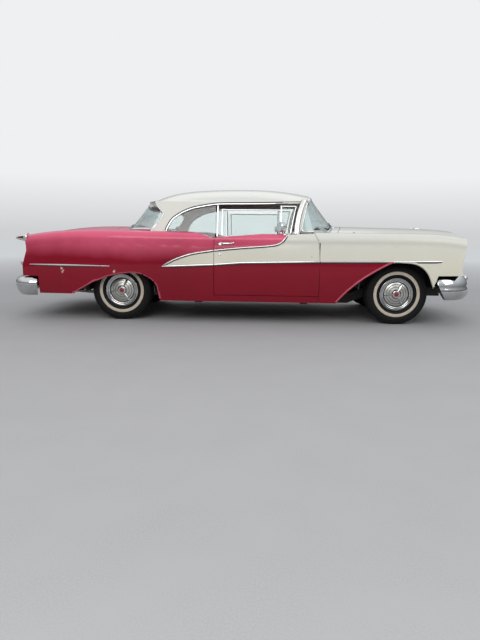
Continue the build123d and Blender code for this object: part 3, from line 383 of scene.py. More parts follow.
def make_pleated_cloth(name, colour, second, spacing=PLEAT):
    """Woven cloth sewn in pleats along the car, with painted shade along their valleys."""
    material, tree, shader, place = start_material(name, Roughness=0.9, Sheen_Weight=0.3)
    warp = add(tree, "ShaderNodeTexWave", {"Vector": place, "Scale": 520.0, "Distortion": 1.5,
                                           "Detail Scale": 2.0}, bands_direction="Y").outputs["Fac"]
    fleck = noise(tree, place, 300.0, 3.0)
    mixed = mix_colour(tree, ramp(tree, maths(tree, "ADD", warp, fleck), 0.5, 1.4), (*colour, 1),
                       (*second, 1))
    split = add(tree, "ShaderNodeSeparateXYZ", {0: place}).outputs
    wave = maths(tree, "ABSOLUTE",
                 maths(tree, "SINE", maths(tree, "MULTIPLY", split["Y"], math.pi / spacing)))
    # Near-black lines along the pleat valleys: painted shade.
    valley_shade = ramp(tree, wave, 0.02, 0.16, 1.0, 0.0)
    shaded = mix_colour(tree, maths(tree, "MULTIPLY", valley_shade, 0.75), mixed, (0.02, 0.018, 0.018, 1))
    tree.links.new(shaded, shader.inputs["Base Color"])
    tree.links.new(ramp(tree, fleck, 0.3, 0.7, 0.8, 0.95), shader.inputs["Roughness"])
    height = maths(tree, "ADD", maths(tree, "MULTIPLY", warp, 0.15), ramp(tree, wave, 0.0, 0.5))
    bump(tree, shader, height, 0.5, 0.004)
    return material


def make_lens(name, colour, ribs=0.0):
    """Moulded lamp glass with ribs."""
    material, tree, shader, place = start_material(name, Transmission_Weight=0.85, IOR=1.5, Roughness=0.12)
    shader.inputs["Base Color"].default_value = (*colour, 1)
    fluting = add(tree, "ShaderNodeTexWave", {"Vector": place, "Scale": 30.0},
                  bands_direction="Y").outputs["Fac"]
    bump(tree, shader, fluting, ribs, 0.004)
    tree.links.new(ramp(tree, noise(tree, place, 40.0, 2.0), 0.3, 0.7, 0.05, 0.2), shader.inputs["Roughness"])
    return material


MATERIALS = {}


def make_all_finishes(colours):
    """Builds every shared effect and finish once."""
    make_road_film_group()
    make_aged_paint_group()
    make_chip_group()
    make_worn_metal_group()
    make_grain_group()
    make_colour_break_group()
    red, cream = tuple(colours.red), tuple(colours.cream)
    # The faded raspberry, far lighter than the paint, is painted top light as well as sun fade.
    sunlit_pink, ivory = tuple(colours.sunlit_faded_red), tuple(colours.faded_cream)
    pale = (0.62, 0.50, 0.46)
    dark = (0.10, 0.07, 0.06)
    quarter_chips = [((-2.010, -0.945, 0.588), 0.016, 70.0, pale),
                     ((-1.992, -0.945, 0.575), 0.013, 70.0, pale),
                     ((-2.000, -0.945, 0.552), 0.014, 70.0, pale),
                     ((-1.409, -0.972, 0.562), 0.015, 90.0, pale)]
    door_chips = [((0.759, -0.985, 0.750), 0.005, 200.0, dark), ((0.56, -0.98, 0.62), 0.004, 200.0, pale),
                  ((0.82, -0.97, 0.41), 0.007, 150.0, pale)]
    MATERIALS.update({
        "red paint": make_paint("Raspberry paint", [red], [sunlit_pink]),
        "cream paint": make_paint("Cream paint", [cream], [ivory], film=0.1, fade=0.15,
                                  dust=(0.30, 0.26, 0.20), chips=[((-0.39, -0.35, 1.478), 0.008, 160.0, dark),
                                         ((0.62, -0.30, 1.46), 0.005, 160.0, dark)]),
        "two-tone door paint": make_paint("Two-tone door paint", [red, cream], [sunlit_pink, ivory],
                                          chips=door_chips),
        "two-tone quarter paint": make_paint("Two-tone quarter paint", [red, cream], [sunlit_pink, ivory],
                                             chips=quarter_chips),
        "two-tone fender paint": make_paint("Two-tone fender paint", [red, cream], [sunlit_pink, ivory], fade=0.3),
        # The lip paint is much lighter than the red: a painted highlight along the arch edges.
        "highlit lip paint": make_paint("Lip paint with painted highlight", [(0.50, 0.080, 0.120), cream], [sunlit_pink, ivory],
                                     fade=0.3),
        # The chrome's heavy low darkening is road soil and a painted dark reflection of the ground under the
        # car.
        "chrome": make_metal("Aged chrome", tuple(colours.chrome), (0.35, 0.33, 0.30), 0.05, 0.35, 0.35,
                             soil_and_reflection=0.9),
        "satin metal": make_metal("Satin wheel disc", (0.62, 0.62, 0.58), (0.40, 0.38, 0.34), 0.28, 0.5, 0.5),
        # Dark finish for the wheel's grooves, and painted shadow on the steep sides of the cover's fins.
        "dark groove and fin shadow": make_rubber("Dark grooves with painted fin shadow", (0.030, 0.028, 0.024), 300.0, 0.2),
        "stainless": make_metal("Stainless trim", (0.72, 0.73, 0.74), (0.45, 0.44, 0.42), 0.14, 0.35, 0.3),
        "cast iron": make_metal("Oily cast iron", (0.13, 0.12, 0.11), (0.10, 0.06, 0.035), 0.55, 0.85, 0.8,
                                0.4),
        "rusty steel": make_metal("Rusty steel", (0.22, 0.16, 0.12), (0.16, 0.06, 0.025), 0.5, 0.9, 1.0, 0.4),
        "spring steel": make_metal("Dirty spring steel", (0.20, 0.19, 0.18), (0.12, 0.08, 0.05), 0.45, 0.8,
                                   0.8, 0.3),
        "black paint": make_rubber("Chassis black", (0.020, 0.019, 0.018), 150.0, 0.7, 0.8,
                                   (0.09, 0.075, 0.06)),
        "tyre rubber": make_rubber("Tyre rubber", (0.0040, 0.0040, 0.0045), 260.0, 0.08, 0.8,
                                   (0.05, 0.045, 0.04), 0.25),
        "seal rubber": make_rubber("Seal rubber", (0.012, 0.012, 0.012), 500.0, 0.1),
        "whitewall": make_rubber("Aged whitewall", tuple(colours.whitewall), 420.0, 0.25, 0.8,
                                 (0.30, 0.24, 0.19)),
        "mirror glass": make_metal("Mirror glass", (0.80, 0.82, 0.83), (0.55, 0.56, 0.57), 0.02, 0.08, 0.2),
        "window glass": make_glass("Tinted window glass", (0.76, 0.83, 0.82)),
        "red vinyl": make_vinyl("Red vinyl", (0.26, 0.018, 0.035)),
        "ivory vinyl": make_vinyl("Ivory piping", (0.62, 0.56, 0.44)),
        "pleated cloth": make_pleated_cloth("Pleated seat cloth", (0.16, 0.15, 0.15), (0.34, 0.32, 0.31)),
        "headliner": make_weave("Headliner cloth", (0.42, 0.40, 0.36), (0.55, 0.53, 0.48), 900.0),
        "carpet": make_weave("Floor carpet", (0.05, 0.012, 0.016), (0.12, 0.03, 0.04), 300.0),
        "clear lens": make_lens("Sealed headlamp glass", (0.93, 0.95, 0.94), 0.35),
        "red lens": make_lens("Red lamp lens", (0.16, 0.004, 0.005), 0.3),
        "amber lens": make_lens("Amber lamp lens", (0.75, 0.25, 0.02), 0.3),
        "red enamel": make_vinyl("Red enamel", (0.30, 0.02, 0.03), 0.0, 60.0),
        "ivory plastic": make_vinyl("Ivory plastic", (0.66, 0.60, 0.47), 0.0, 30.0),
        "dial face": make_vinyl("Dial face", (0.03, 0.03, 0.035), 0.0, 50.0),
    })


# Mesh helpers

def smooth_by_angle(bm, degrees):
    """Smooth faces, with sharp edges where they meet at more than an angle."""
    limit = math.radians(degrees)
    for face in bm.faces:
        face.smooth = True
    for edge in bm.edges:
        edge.smooth = edge.calc_face_angle(0.0) < limit


def place_piece(bm, name, materials, body, degrees=35, turn_out=True):
    """The finished piece, riding on its body."""
    bmesh.ops.remove_doubles(bm, verts=bm.verts, dist=1e-6)
    if turn_out:
        bmesh.ops.recalc_face_normals(bm, faces=bm.faces)
    smooth_by_angle(bm, degrees)
    mesh = bpy.data.meshes.new(name.replace(" ", "_"))
    bm.to_mesh(mesh)
    bm.free()
    for material in materials:
        mesh.materials.append(MATERIALS[material])
    piece = bpy.data.objects.new(mesh.name, mesh)
    bpy.context.scene.collection.objects.link(piece)
    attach(piece, body)
    return piece


def carried_mesh(node):
    """A merged copy of a CAD node's mesh."""
    bm = bmesh.new()
    bm.from_mesh(NODES[node].data)
    bmesh.ops.remove_doubles(bm, verts=bm.verts, dist=2e-5)
    bmesh.ops.dissolve_degenerate(bm, edges=bm.edges, dist=1e-6)
    return bm


def carry_over(node, material, degrees=32, inner=None):
    """A CAD node's copy with smooth faces and its finish, and another finish on its inner faces."""
    bm = carried_mesh(node)
    if inner:
        side = -1 if node.endswith("_right") else 1
        ahead = {"hood": -1, "deck_lid": 1}.get(node, 0)
        for face in bm.faces:
            normal, middle = face.normal, face.calc_center_median()
            if ahead:
                hidden = normal.z < -0.2 or normal.x * ahead > 0.5
            else:
                hidden = normal.y * side < 0.05 and normal.z < 0.25 and abs(normal.x) < 0.9
                hidden = hidden or abs(middle.y) < 0.605
                hidden = hidden or (1.05 < middle.x < 2.05 and abs(middle.y) < 0.905 and middle.z < 0.62)
                hidden = hidden or (middle.x > 1.0 and normal.x < -0.5)
                hidden = hidden or (middle.x < -0.5 and normal.x > 0.5)
                hidden = hidden and not (middle.z > 0.57 and -1.04 < middle.x < 1.0)
            if hidden:
                face.material_index = 1
    materials = [material, inner] if inner else [material]
    piece = place_piece(bm, node + " skin", materials, BODY_OF[node], degrees, False)
    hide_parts(node)
    return piece


def surface_of(nodes):
    """A search tree over some CAD nodes."""
    verts, faces = [], []
    for node in nodes:
        mesh = NODES[node].data
        start = len(verts)
        verts.extend(v.co.copy() for v in mesh.vertices)
        faces.extend([start + i for i in face.vertices] for face in mesh.polygons)
    return BVHTree.FromPolygons(verts, faces)


def side_hit(tree, x, z, side):
    """The outer surface's point and normal at a place in side view."""
    hit, normal, _, _ = tree.ray_cast(Vector((x, side * 1.4, z)), Vector((0, -side, 0)))
    if hit is None:
        hit, normal, _, _ = tree.find_nearest(Vector((x, side * 0.97, z)))
    if normal.y * side < 0:
        normal = -normal
    return hit, normal


def smooth_line(points, steps=6):
    """Points on a smooth curve through some others."""
    rows = [Vector(p).to_3d() for p in points]
    ends = [rows[0] * 2 - rows[1]] + rows + [rows[-1] * 2 - rows[-2]]
    result = []
    for before, start, end, after in zip(ends, ends[1:], ends[2:], ends[3:]):
        for step in range(steps):
            t = step / steps
            result.append(0.5 * ((2 * start) + (end - before) * t
                                 + (2 * before - 5 * start + 4 * end - after) * t * t
                                 + (3 * start - before - 3 * end + after) * t ** 3))
    return result + [rows[-1]]


def path_places(points, outwards):
    """A placing matrix at each point: X points outwards, Y across and Z along the path."""
    places = []
    for index, point in enumerate(points):
        behind, ahead = points[max(index - 1, 0)], points[min(index + 1, len(points) - 1)]
        along = (ahead - behind).normalized()
        outward = outwards[index]
        outward = (outward - along * outward.dot(along)).normalized()
        across = along.cross(outward)
        place = Matrix((outward, across, along)).transposed().to_4x4()
        place.translation = point
        places.append(place)
    return places


def sweep(bm, places, profile, sizes=None, closed=False):
    """Extrudes a closed profile of (out, across) points through a row of places."""
    sizes = sizes or [1.0] * len(places)
    scaled = [place @ Matrix.Scale(size, 4) for place, size in zip(places, sizes)]
    ring = [bm.verts.new(scaled[0] @ Vector((out, across, 0))) for out, across in profile]
    edges = [bm.edges.new((a, b)) for a, b in zip(ring, ring[1:] + ring[:1])]
    first_edges = list(edges)
    for before, after in zip(scaled, scaled[1:]):
        made = bmesh.ops.extrude_edge_only(bm, edges=edges)["geom"]
        verts = [g for g in made if isinstance(g, bmesh.types.BMVert)]
        edges = [g for g in made if isinstance(g, bmesh.types.BMEdge)
                 and all(v in verts for v in g.verts)]
        bmesh.ops.transform(bm, matrix=after @ before.inverted(), verts=verts)
    if closed:
        bmesh.ops.bridge_loops(bm, edges=edges + first_edges)
    else:
        bmesh.ops.contextual_create(bm, geom=first_edges)
        bmesh.ops.contextual_create(bm, geom=edges)


def half_round(width, height, rows=5):
    """The section of a strip that is flat at the back and crowned in front."""
    crown = [(height * math.sin(math.pi * i / rows) ** 0.8, -width / 2 + width * i / rows)
             for i in range(rows + 1)]
    return [(-0.004, -width / 2)] + crown + [(-0.004, width / 2)]


def round_bar(radius, count=8):
    """The section of a round bar."""
    return [(radius * math.cos(2 * math.pi * i / count), radius * math.sin(2 * math.pi * i / count))
            for i in range(count)]


def flat_bar(out, across):
    """The section of a flat bar with eased corners."""
    ease = min(out, across) * 0.25
    half = across / 2
    return [(0, -half), (out - ease, -half), (out, -half + ease), (out, half - ease), (out - ease, half),
            (0, half)]


def spin_profile(bm, profile, steps):
    """Turns an open or closed line of (along, radius) points round the Y axis."""
    verts = [bm.verts.new((0, along, radius)) for along, radius in profile]
    edges = [bm.edges.new((a, b)) for a, b in zip(verts, verts[1:])]
    bmesh.ops.spin(bm, geom=verts + edges, cent=(0, 0, 0), axis=(0, 1, 0), angle=2 * math.pi,
                   steps=steps, use_merge=True, use_duplicate=False)
    bmesh.ops.remove_doubles(bm, verts=bm.verts, dist=1e-6)


def turned_to(spot, ahead, up="Z"):
    """A place whose X axis looks along a direction."""
    return Matrix.Translation(spot) @ ahead.to_track_quat("X", up).to_matrix().to_4x4()


def put_box(bm, centre, size, bevel=0.0, turn=None):
    """A box with eased edges, added to a mesh."""
    made = bmesh.ops.create_cube(bm, size=1.0)["verts"]
    place = Matrix.Translation(centre)
    if turn is not None:
        place = place @ turn
    bmesh.ops.transform(bm, matrix=place @ Matrix.Diagonal((*size, 1)), verts=made)
    if bevel:
        edges = list({edge for vert in made for edge in vert.link_edges})
        bmesh.ops.bevel(bm, geom=edges, offset=bevel, offset_type="OFFSET", segments=2, profile=0.5,
                        affect="EDGES", material=-1)


# Body panels

PANEL_FINISH = {
    "fender_left": "two-tone fender paint", "fender_right": "two-tone fender paint",
    "door_left": "two-tone door paint", "door_right": "two-tone door paint",
    "quarter_left": "two-tone quarter paint", "quarter_right": "two-tone quarter paint",
    "hood": "cream paint", "cowl": "cream paint", "roof": "cream paint",
    "deck_lid": "red paint", "rear_panel": "red paint", "parcel_shelf": "red paint", "rockers": "red paint",
    "dashboard": "red paint", "front_panel": "cream paint",
}
PLAIN_FINISH = {
    "front_bumper": "chrome", "rear_bumper": "chrome", "grille": "chrome",
    "steering_column": "ivory plastic", "engine": "cast iron", "radiator": "black paint",
    "frame": "black paint", "floor_pan": "black paint", "luggage_floor": "black paint",
    "front_suspension": "spring steel",
    "knuckle_left": "cast iron", "knuckle_right": "cast iron", "rear_axle": "cast iron",
    "leaf_springs": "spring steel", "exhaust": "rusty steel", "fuel_tank": "spring steel",
}
DARK_INSIDE = ("fender_left", "fender_right", "quarter_left", "quarter_right", "hood", "deck_lid")
GLASS_NODES = ("windshield", "rear_window", "door_glass_left", "door_glass_right", "quarter_glass")


def carry_over_panels():
    """The painted panels."""
    for node, finish in PANEL_FINISH.items():
        carry_over(node, finish, inner="black paint" if node in DARK_INSIDE else None)


def carry_over_plain_pieces():
    """The bumpers, grille, running gear and other pieces that keep their CAD form."""
    for node, finish in PLAIN_FINISH.items():
        carry_over(node, finish)


def carry_over_glass():
    """The windows."""
    for node in GLASS_NODES:
        carry_over(node, "window glass", 20)


# Side trim

def side_strip(name, tree, line, side, profile, body, sizes=None):
    """A bright strip that follows the side of the body along a side-view line, with a dark strip just below
    it as its painted shadow.
    """
    points, outwards = side_points(tree, line, side, 0.0)
    bm = bmesh.new()
    sweep(bm, path_places(points, outwards), profile, sizes)
    piece = place_piece(bm, name, ["chrome"], body, 50)
    # A dark rubber strip just below the chrome stands in for the shadow it casts: painted shadow.
    low = min(across for _, across in profile)
    bm = bmesh.new()
    drop = (low - 0.0035) * side
    sweep(bm, path_places(points, outwards),
          [(out, across + drop) for out, across in flat_bar(0.0025, 0.007)], sizes)
    place_piece(bm, name + " painted shadow strip", ["seal rubber"], body, 50)
    return piece


def taper(count, head, tail, ends=(0.25, 0.25)):
    """Sizes along a strip that narrows towards its ends over some share of its length."""
    sizes = []
    for index in range(count):
        t = index / (count - 1)
        size = 1.0
        if head and t < head:
            size = ends[0] + (1 - ends[0]) * (t / head) ** 0.6
        if tail and t > 1 - tail:
            size = min(size, ends[1] + (1 - ends[1]) * ((1 - t) / tail) ** 0.6)
        sizes.append(size)
    return sizes


def straight(points, step=0.06):
    """A polyline with points at most a step apart."""
    result = []
    for (x0, z0), (x1, z1) in zip(points, points[1:]):
        count = max(1, math.ceil(math.hypot(x1 - x0, z1 - z0) / step))
        result += [Vector((x0 + (x1 - x0) * i / count, z0 + (z1 - z0) * i / count, 0)) for i in range(count)]
    return result + [Vector((*points[-1], 0))]


def make_gap_fillers():
    """Painted flanges deep in the gap in front of each door."""
    for side_name, side in SIDES.items():
        fender = surface_of([f"fender_{side_name}"])
        line = smooth_line([(0.851, 0.690), (0.846, 0.780), (0.834, 0.905), (0.806, 0.965)], 5)
        points, outwards = [], []
        for row in line:
            hit, _ = side_hit(fender, row.x + 0.010, row.y, side)
            points.append(Vector((row.x + 0.001, hit.y - side * 0.010, row.y)))
            outwards.append(Vector((0, side, 0)))
        free_strip(f"door gap flange {side_name}", points, outwards, flat_bar(0.004, 0.006), "root",
                   "two-tone fender paint")


def make_side_trim(settings):
    """The chrome strips on the colour breaks and the rear quarters."""
    wide = half_round(settings.strip_width, 0.009)
    thin = half_round(settings.strip_width * 0.75, 0.008)
    for side_name, side in SIDES.items():
        fender, door, quarter = (surface_of([f"{node}_{side_name}"])
                                 for node in ("fender", "door", "quarter"))
        line = straight([(0.853, 0.7003), (1.860, 0.713), (2.150, 0.717)])
        side_strip(f"fender strip {side_name}", fender, line, side, wide, "root",
                   taper(len(line), 0, 0.012, (1, 0.7)))
        line = straight([(-0.298, 0.655), (-0.0165, 0.678), (0.842, 0.700)])
        side_strip(f"door strip {side_name}", door, line, side, wide, "door_body_" + side_name)
        line = straight([(-0.8745, 0.6275), (-0.309, 0.6544)])
        side_strip(f"quarter strip {side_name}", quarter, line, side, wide, "root",
                   taper(len(line), 0.25, 0, (0.2, 1)))
        line = smooth_line([(-0.8745, 0.629), (-0.80, 0.672), (-0.7175, 0.712), (-0.5485, 0.768),
                            (-0.309, 0.8075)], 5)
        side_strip(f"quarter spear edge {side_name}", quarter, line, side, thin, "root",
                   taper(len(line), 0.2, 0, (0.25, 1)))
        line = smooth_line([(-0.298, 0.809), (-0.0185, 0.837), (0.3125, 0.865), (0.4105, 0.891),
                            (0.4585, 0.932), (0.4815, 0.970)], 6)
        side_strip(f"door spear edge {side_name}", door, line, side, thin, "door_body_" + side_name)
        line = straight([(-2.385, 0.628), (-1.4595, 0.622)])
        side_strip(f"rear strip {side_name}", quarter, line, side, wide, "root",
                   taper(len(line), 0.45, 0.55, (0.3, 0.25)))


# Wheels

def wheel_place(end, side_name):
    """Where a wheel stands, with its outer face turned outboard."""
    side = SIDES[side_name]
    place = Matrix.Translation((AXLES[end], side * TRACK_HALF, HUB_Z))
    return place if side > 0 else place @ Matrix.Rotation(math.pi, 4, "Z")


# columns: distance outboard of the wheel's middle, radius
TYRE_FACE = [(0.072, 0.191), (0.080, 0.1935), (0.088, 0.203), (0.0925, 0.214), (0.0935, 0.2195),
             (0.0960, 0.2210), (0.0975, 0.230), (0.0980, 0.242), (0.0978, 0.2525), (0.0965, 0.2545),
             (0.0985, 0.266), (0.0998, 0.278), (0.0990, 0.292), (0.0965, 0.304), (0.0960, 0.3045),
             (0.0945, 0.312), (0.0915, 0.320), (0.0865, 0.3285), (0.0800, 0.3345), (0.0730, 0.3380)]
GROOVES = (0.052, 0.028, 0.0, -0.028, -0.052)


def tyre_profile():
    """The whole section of a tyre, from its outer bead round the tread to its inner bead."""
    line = list(TYRE_FACE)
    for middle in GROOVES:
        line += [(middle + 0.0045, 0.3398), (middle + 0.0032, 0.3325), (middle - 0.0032, 0.3325),
                 (middle - 0.0045, 0.3398)]
    inner = [(-along, radius) for along, radius in reversed(TYRE_FACE)]
    return line + inner


def make_tyre(name, place, body):
    """A tyre with grooved tread and a narrow whitewall."""
    bm = bmesh.new()
    spin_profile(bm, tyre_profile(), 120)
    bmesh.ops.recalc_face_normals(bm, faces=bm.faces)
    tread = []
    for face in bm.faces:
        middle = face.calc_center_median()
        radius = math.hypot(middle.x, middle.z)
        if 0.2205 < radius < 0.2535 and middle.y > 0.09:
            face.material_index = 1
        turn = round(math.degrees(math.atan2(middle.x, middle.z)) / 3 + 0.5)
        if radius > 0.3375 and abs(middle.y) > 0.004 and turn % 2 == 0:
            tread.append(face)
    bmesh.ops.inset_individual(bm, faces=tread, thickness=0.0022, depth=-0.004)
    bmesh.ops.transform(bm, matrix=place, verts=bm.verts)
    return place_piece(bm, name, ["tyre rubber", "whitewall"], body, 38)


# columns: distance outboard of the wheel's middle, radius; from the hub's centre outwards and round behind
WHEEL_SECTION = [
    (0.0985, 0.0), (0.0980, 0.012), (0.0955, 0.021), (0.0925, 0.0245), (0.0925, 0.026), (0.0965, 0.028),
    (0.0975, 0.033), (0.0955, 0.040), (0.0900, 0.046), (0.0855, 0.0485), (0.0835, 0.050), (0.0868, 0.054),
    (0.0845, 0.066), (0.0815, 0.0785), (0.0790, 0.0800), (0.0790, 0.0825), (0.0815, 0.0840),
    (0.0790, 0.096), (0.0760, 0.1065), (0.0735, 0.1080), (0.0735, 0.1105), (0.0755, 0.1120),
    (0.0725, 0.1250), (0.0700, 0.1310), (0.0640, 0.1320), (0.0635, 0.1385), (0.0700, 0.1400),
    (0.0790, 0.1425), (0.0835, 0.1470), (0.0850, 0.1520), (0.0850, 0.1560), (0.0815, 0.1572),
    (0.0812, 0.1596), (0.0862, 0.1612), (0.0885, 0.1660), (0.0890, 0.1700), (0.0850, 0.1716),
    (0.0848, 0.1736), (0.0885, 0.1755), (0.0890, 0.1800), (0.0868, 0.1840), (0.0838, 0.1870),
    (0.0800, 0.1895), (0.0700, 0.1897), (-0.0825, 0.1897), (-0.0825, 0.1720), (0.0525, 0.1720),
    (0.0425, 0.1200), (0.0140, 0.1200), (0.0100, 0.1400), (-0.0440, 0.1400), (-0.0440, 0.0300),
    (0.0525, 0.0300), (0.0525, 0.0)]


# Rings of the wheel drawn dark, by their radii
WHEEL_GROOVES = ((0.0785, 0.0842), (0.1063, 0.1122), (0.1572, 0.1600), (0.1716, 0.1740))


def make_wheel(name, place, body):
    """The rim, drum and dished cover with ringed dish, three raised fins and an enamel boss."""
    bm = bmesh.new()
    spin_profile(bm, WHEEL_SECTION, 96)
    bmesh.ops.recalc_face_normals(bm, faces=bm.faces)
    for face in bm.faces:
        middle = face.calc_center_median()
        radius = math.hypot(middle.x, middle.z)
        groove = any(low < radius < high for low, high in WHEEL_GROOVES)
        if middle.y < 0.060 or radius > 0.1896:
            face.material_index = 2
        elif radius < 0.0248:
            face.material_index = 3
        elif 0.1305 < radius < 0.1392 or groove or 0.0470 < radius < 0.0515:
            face.material_index = 4
        elif 0.0515 < radius < 0.1306:
            face.material_index = 1
    for angle in (93, -27, -147):
        add_fin(bm, math.radians(angle))
    bmesh.ops.transform(bm, matrix=place, verts=bm.verts)
    return place_piece(bm, name, ["chrome", "satin metal", "spring steel", "red enamel", "dark groove and fin shadow"],
                       body, 32)


def add_fin(bm, angle):
    """One raised fin of a wheel cover: a ridge that falls away to one side, with painted shadow on its steep
    side.
    """
    rows = ((0.044, 0.0935), (0.070, 0.0925), (0.100, 0.0895), (0.126, 0.0840), (0.1335, 0.0770))
    places = []
    turn = Matrix.Rotation(angle, 4, "Y")
    for radius, height in rows:
        place = Matrix(((0, 1, 0), (1, 0, 0), (0, 0, -1))).to_4x4()
        place.translation = Vector((0, height, radius))
        places.append(turn @ place)
    profile = [(-0.020, -0.011), (-0.003, -0.0085), (0.0, -0.006), (-0.001, 0.000), (-0.008, 0.011),
               (-0.020, 0.018)]
    known = set(bm.faces)
    sweep(bm, places, profile, [0.9, 1.0, 1.15, 1.3, 1.2])
    steep = turn @ Vector((-1, 0, 0))
    for face in bm.faces:
        if face not in known and len(face.verts) == 4:
            face.normal_update()
            # The steep side takes the dark finish as painted shadow.
            if abs(face.normal.dot(steep)) > 0.93:
                face.material_index = 4


def make_wheels():
    """All four tyres and wheels."""
    for end in AXLES:
        for side_name in SIDES:
            body = f"wheel_body_{end}_{side_name}"
            place = wheel_place(end, side_name)
            tyre = make_tyre(f"{end} {side_name} tyre", place, body)
            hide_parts(f"tyre_{end}_{side_name}")
            wheel = make_wheel(f"{end} {side_name} wheel", place, body)
            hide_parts(f"wheel_{end}_{side_name}")


# Window trim

PANE_SLOPE = 0.3086
# The foot of the window plane: how far out it stands, and its height
PANE_FOOT_Y = 0.800
PANE_FOOT_Z = 0.985
PANE_OUT = Vector((0, 0.9555, 0.2949))


def pane_point(x, z, side, lift=0.0):
    """A place on the leaning plane of the side windows, lifted off it."""
    point = Vector((x, PANE_FOOT_Y - (z - PANE_FOOT_Z) * PANE_SLOPE, z)) + PANE_OUT * lift
    point.y *= side
    return point


def pane_strip(name, line, side, profile, body, lift=0.0):
    """A bright strip on the plane of the side windows."""
    outward = Vector((0, PANE_OUT.y * side, PANE_OUT.z))
    points = [pane_point(x, z, side, lift) for x, z, *_ in line]
    bm = bmesh.new()
    sweep(bm, path_places(points, [outward] * len(points)), profile)
    return place_piece(bm, name, ["chrome"], body, 50)


def free_strip(name, points, outwards, profile, body, material="chrome", sizes=None):
    """A strip through given points."""
    bm = bmesh.new()
    sweep(bm, path_places(points, outwards), profile, sizes)
    return place_piece(bm, name, [material], body, 50)


ROOF_RAIL = [(0.800, 0.640), (0.350, 0.688), (-0.200, 0.692), (-0.700, 0.684)]


def roof_rail_y(x):
    """How far out the roof's lower edge stands."""
    for (x1, y1), (x0, y0) in zip(ROOF_RAIL, ROOF_RAIL[1:]):
        if x >= x0:
            return y0 + (y1 - y0) * (x - x0) / (x1 - x0)
    return ROOF_RAIL[-1][1]


def rail_points(line, side, rise, lift):
    """Places along the roof rail and down the rear pillar, moved outwards in side view."""
    rows = smooth_line(line, 5)
    points = []
    for index, row in enumerate(rows):
        ahead, behind = rows[min(index + 1, len(rows) - 1)], rows[max(index - 1, 0)]
        along = (ahead - behind).normalized()
        x, z = row.x + along.y * rise, row.y - along.x * rise
        if row.x > -0.2:
            y = roof_rail_y(x) + lift
        else:
            y = PANE_FOOT_Y - (z - PANE_FOOT_Z) * PANE_SLOPE + lift
        points.append(Vector((x, side * y, z)))
    return points


RAIL_LINE = [(0.655, 1.338), (0.350, 1.326), (0.040, 1.320), (-0.200, 1.317), (-0.3225, 1.310),
             (-0.450, 1.290), (-0.5815, 1.261), (-0.700, 1.208), (-0.7905, 1.143), (-0.842, 1.060),
             (-0.860, 1.014)]


def rim_line(node, centre, angles, inside_z, limit_z):
    """The upper or lower rim of a curved window: its places and outward directions."""
    tree = surface_of([node])
    points, outwards = [], []
    for angle in angles:
        outward = Vector((math.cos(angle), math.sin(angle), 0))
        good, bad, found = inside_z, limit_z, None
        for z in [inside_z] + [None] * 12:
            z = (good + bad) / 2 if z is None else z
            start = Vector((centre, 0, z)) + outward * 2.5
            hit = tree.ray_cast(start, -outward, 2.4)[0]
            if hit is None:
                bad = z
            else:
                good, found = z, hit
            if found is None:
                break
        if found is not None:
            points.append(found)
            outwards.append(outward)
    return points, outwards


def meeting_line(node, cover, centre, angles, low, high):
    """Where a curved window passes under its cover, seen from outside and evened along its length."""
    trees = surface_of([node]), surface_of([cover])
    rows = []
    for angle in angles:
        outward = Vector((math.cos(angle), math.sin(angle), 0))
        for z in (high + (low - high) * step / 50 for step in range(51)):
            start = Vector((centre, 0, z)) + outward * 2.5
            pane, lid = (tree.ray_cast(start, -outward, 2.4)[3] for tree in trees)
            if pane is not None and (lid is None or pane < lid):
                break
        rows.append((2.5 - pane, z - 0.006))
    for _ in range(40):
        rows = [rows[0]] + [tuple((a + 2 * b + c) / 4 for a, b, c in zip(*rows[i - 1:i + 2]))
                            for i in range(1, len(rows) - 1)] + [rows[-1]]
    points, outwards = [], []
    for angle, (reach, z) in zip(angles, rows):
        outward = Vector((math.cos(angle), math.sin(angle), 0))
        points.append(Vector((centre, 0, z)) + outward * (reach + 0.003))
        outwards.append((outward * 0.75 + Vector((0, 0, 0.66))).normalized())
    return points, outwards


def spread(start, end, count):
    """Even steps between two angles in degrees, in radians."""
    return [math.radians(start + (end - start) * i / (count - 1)) for i in range(count)]


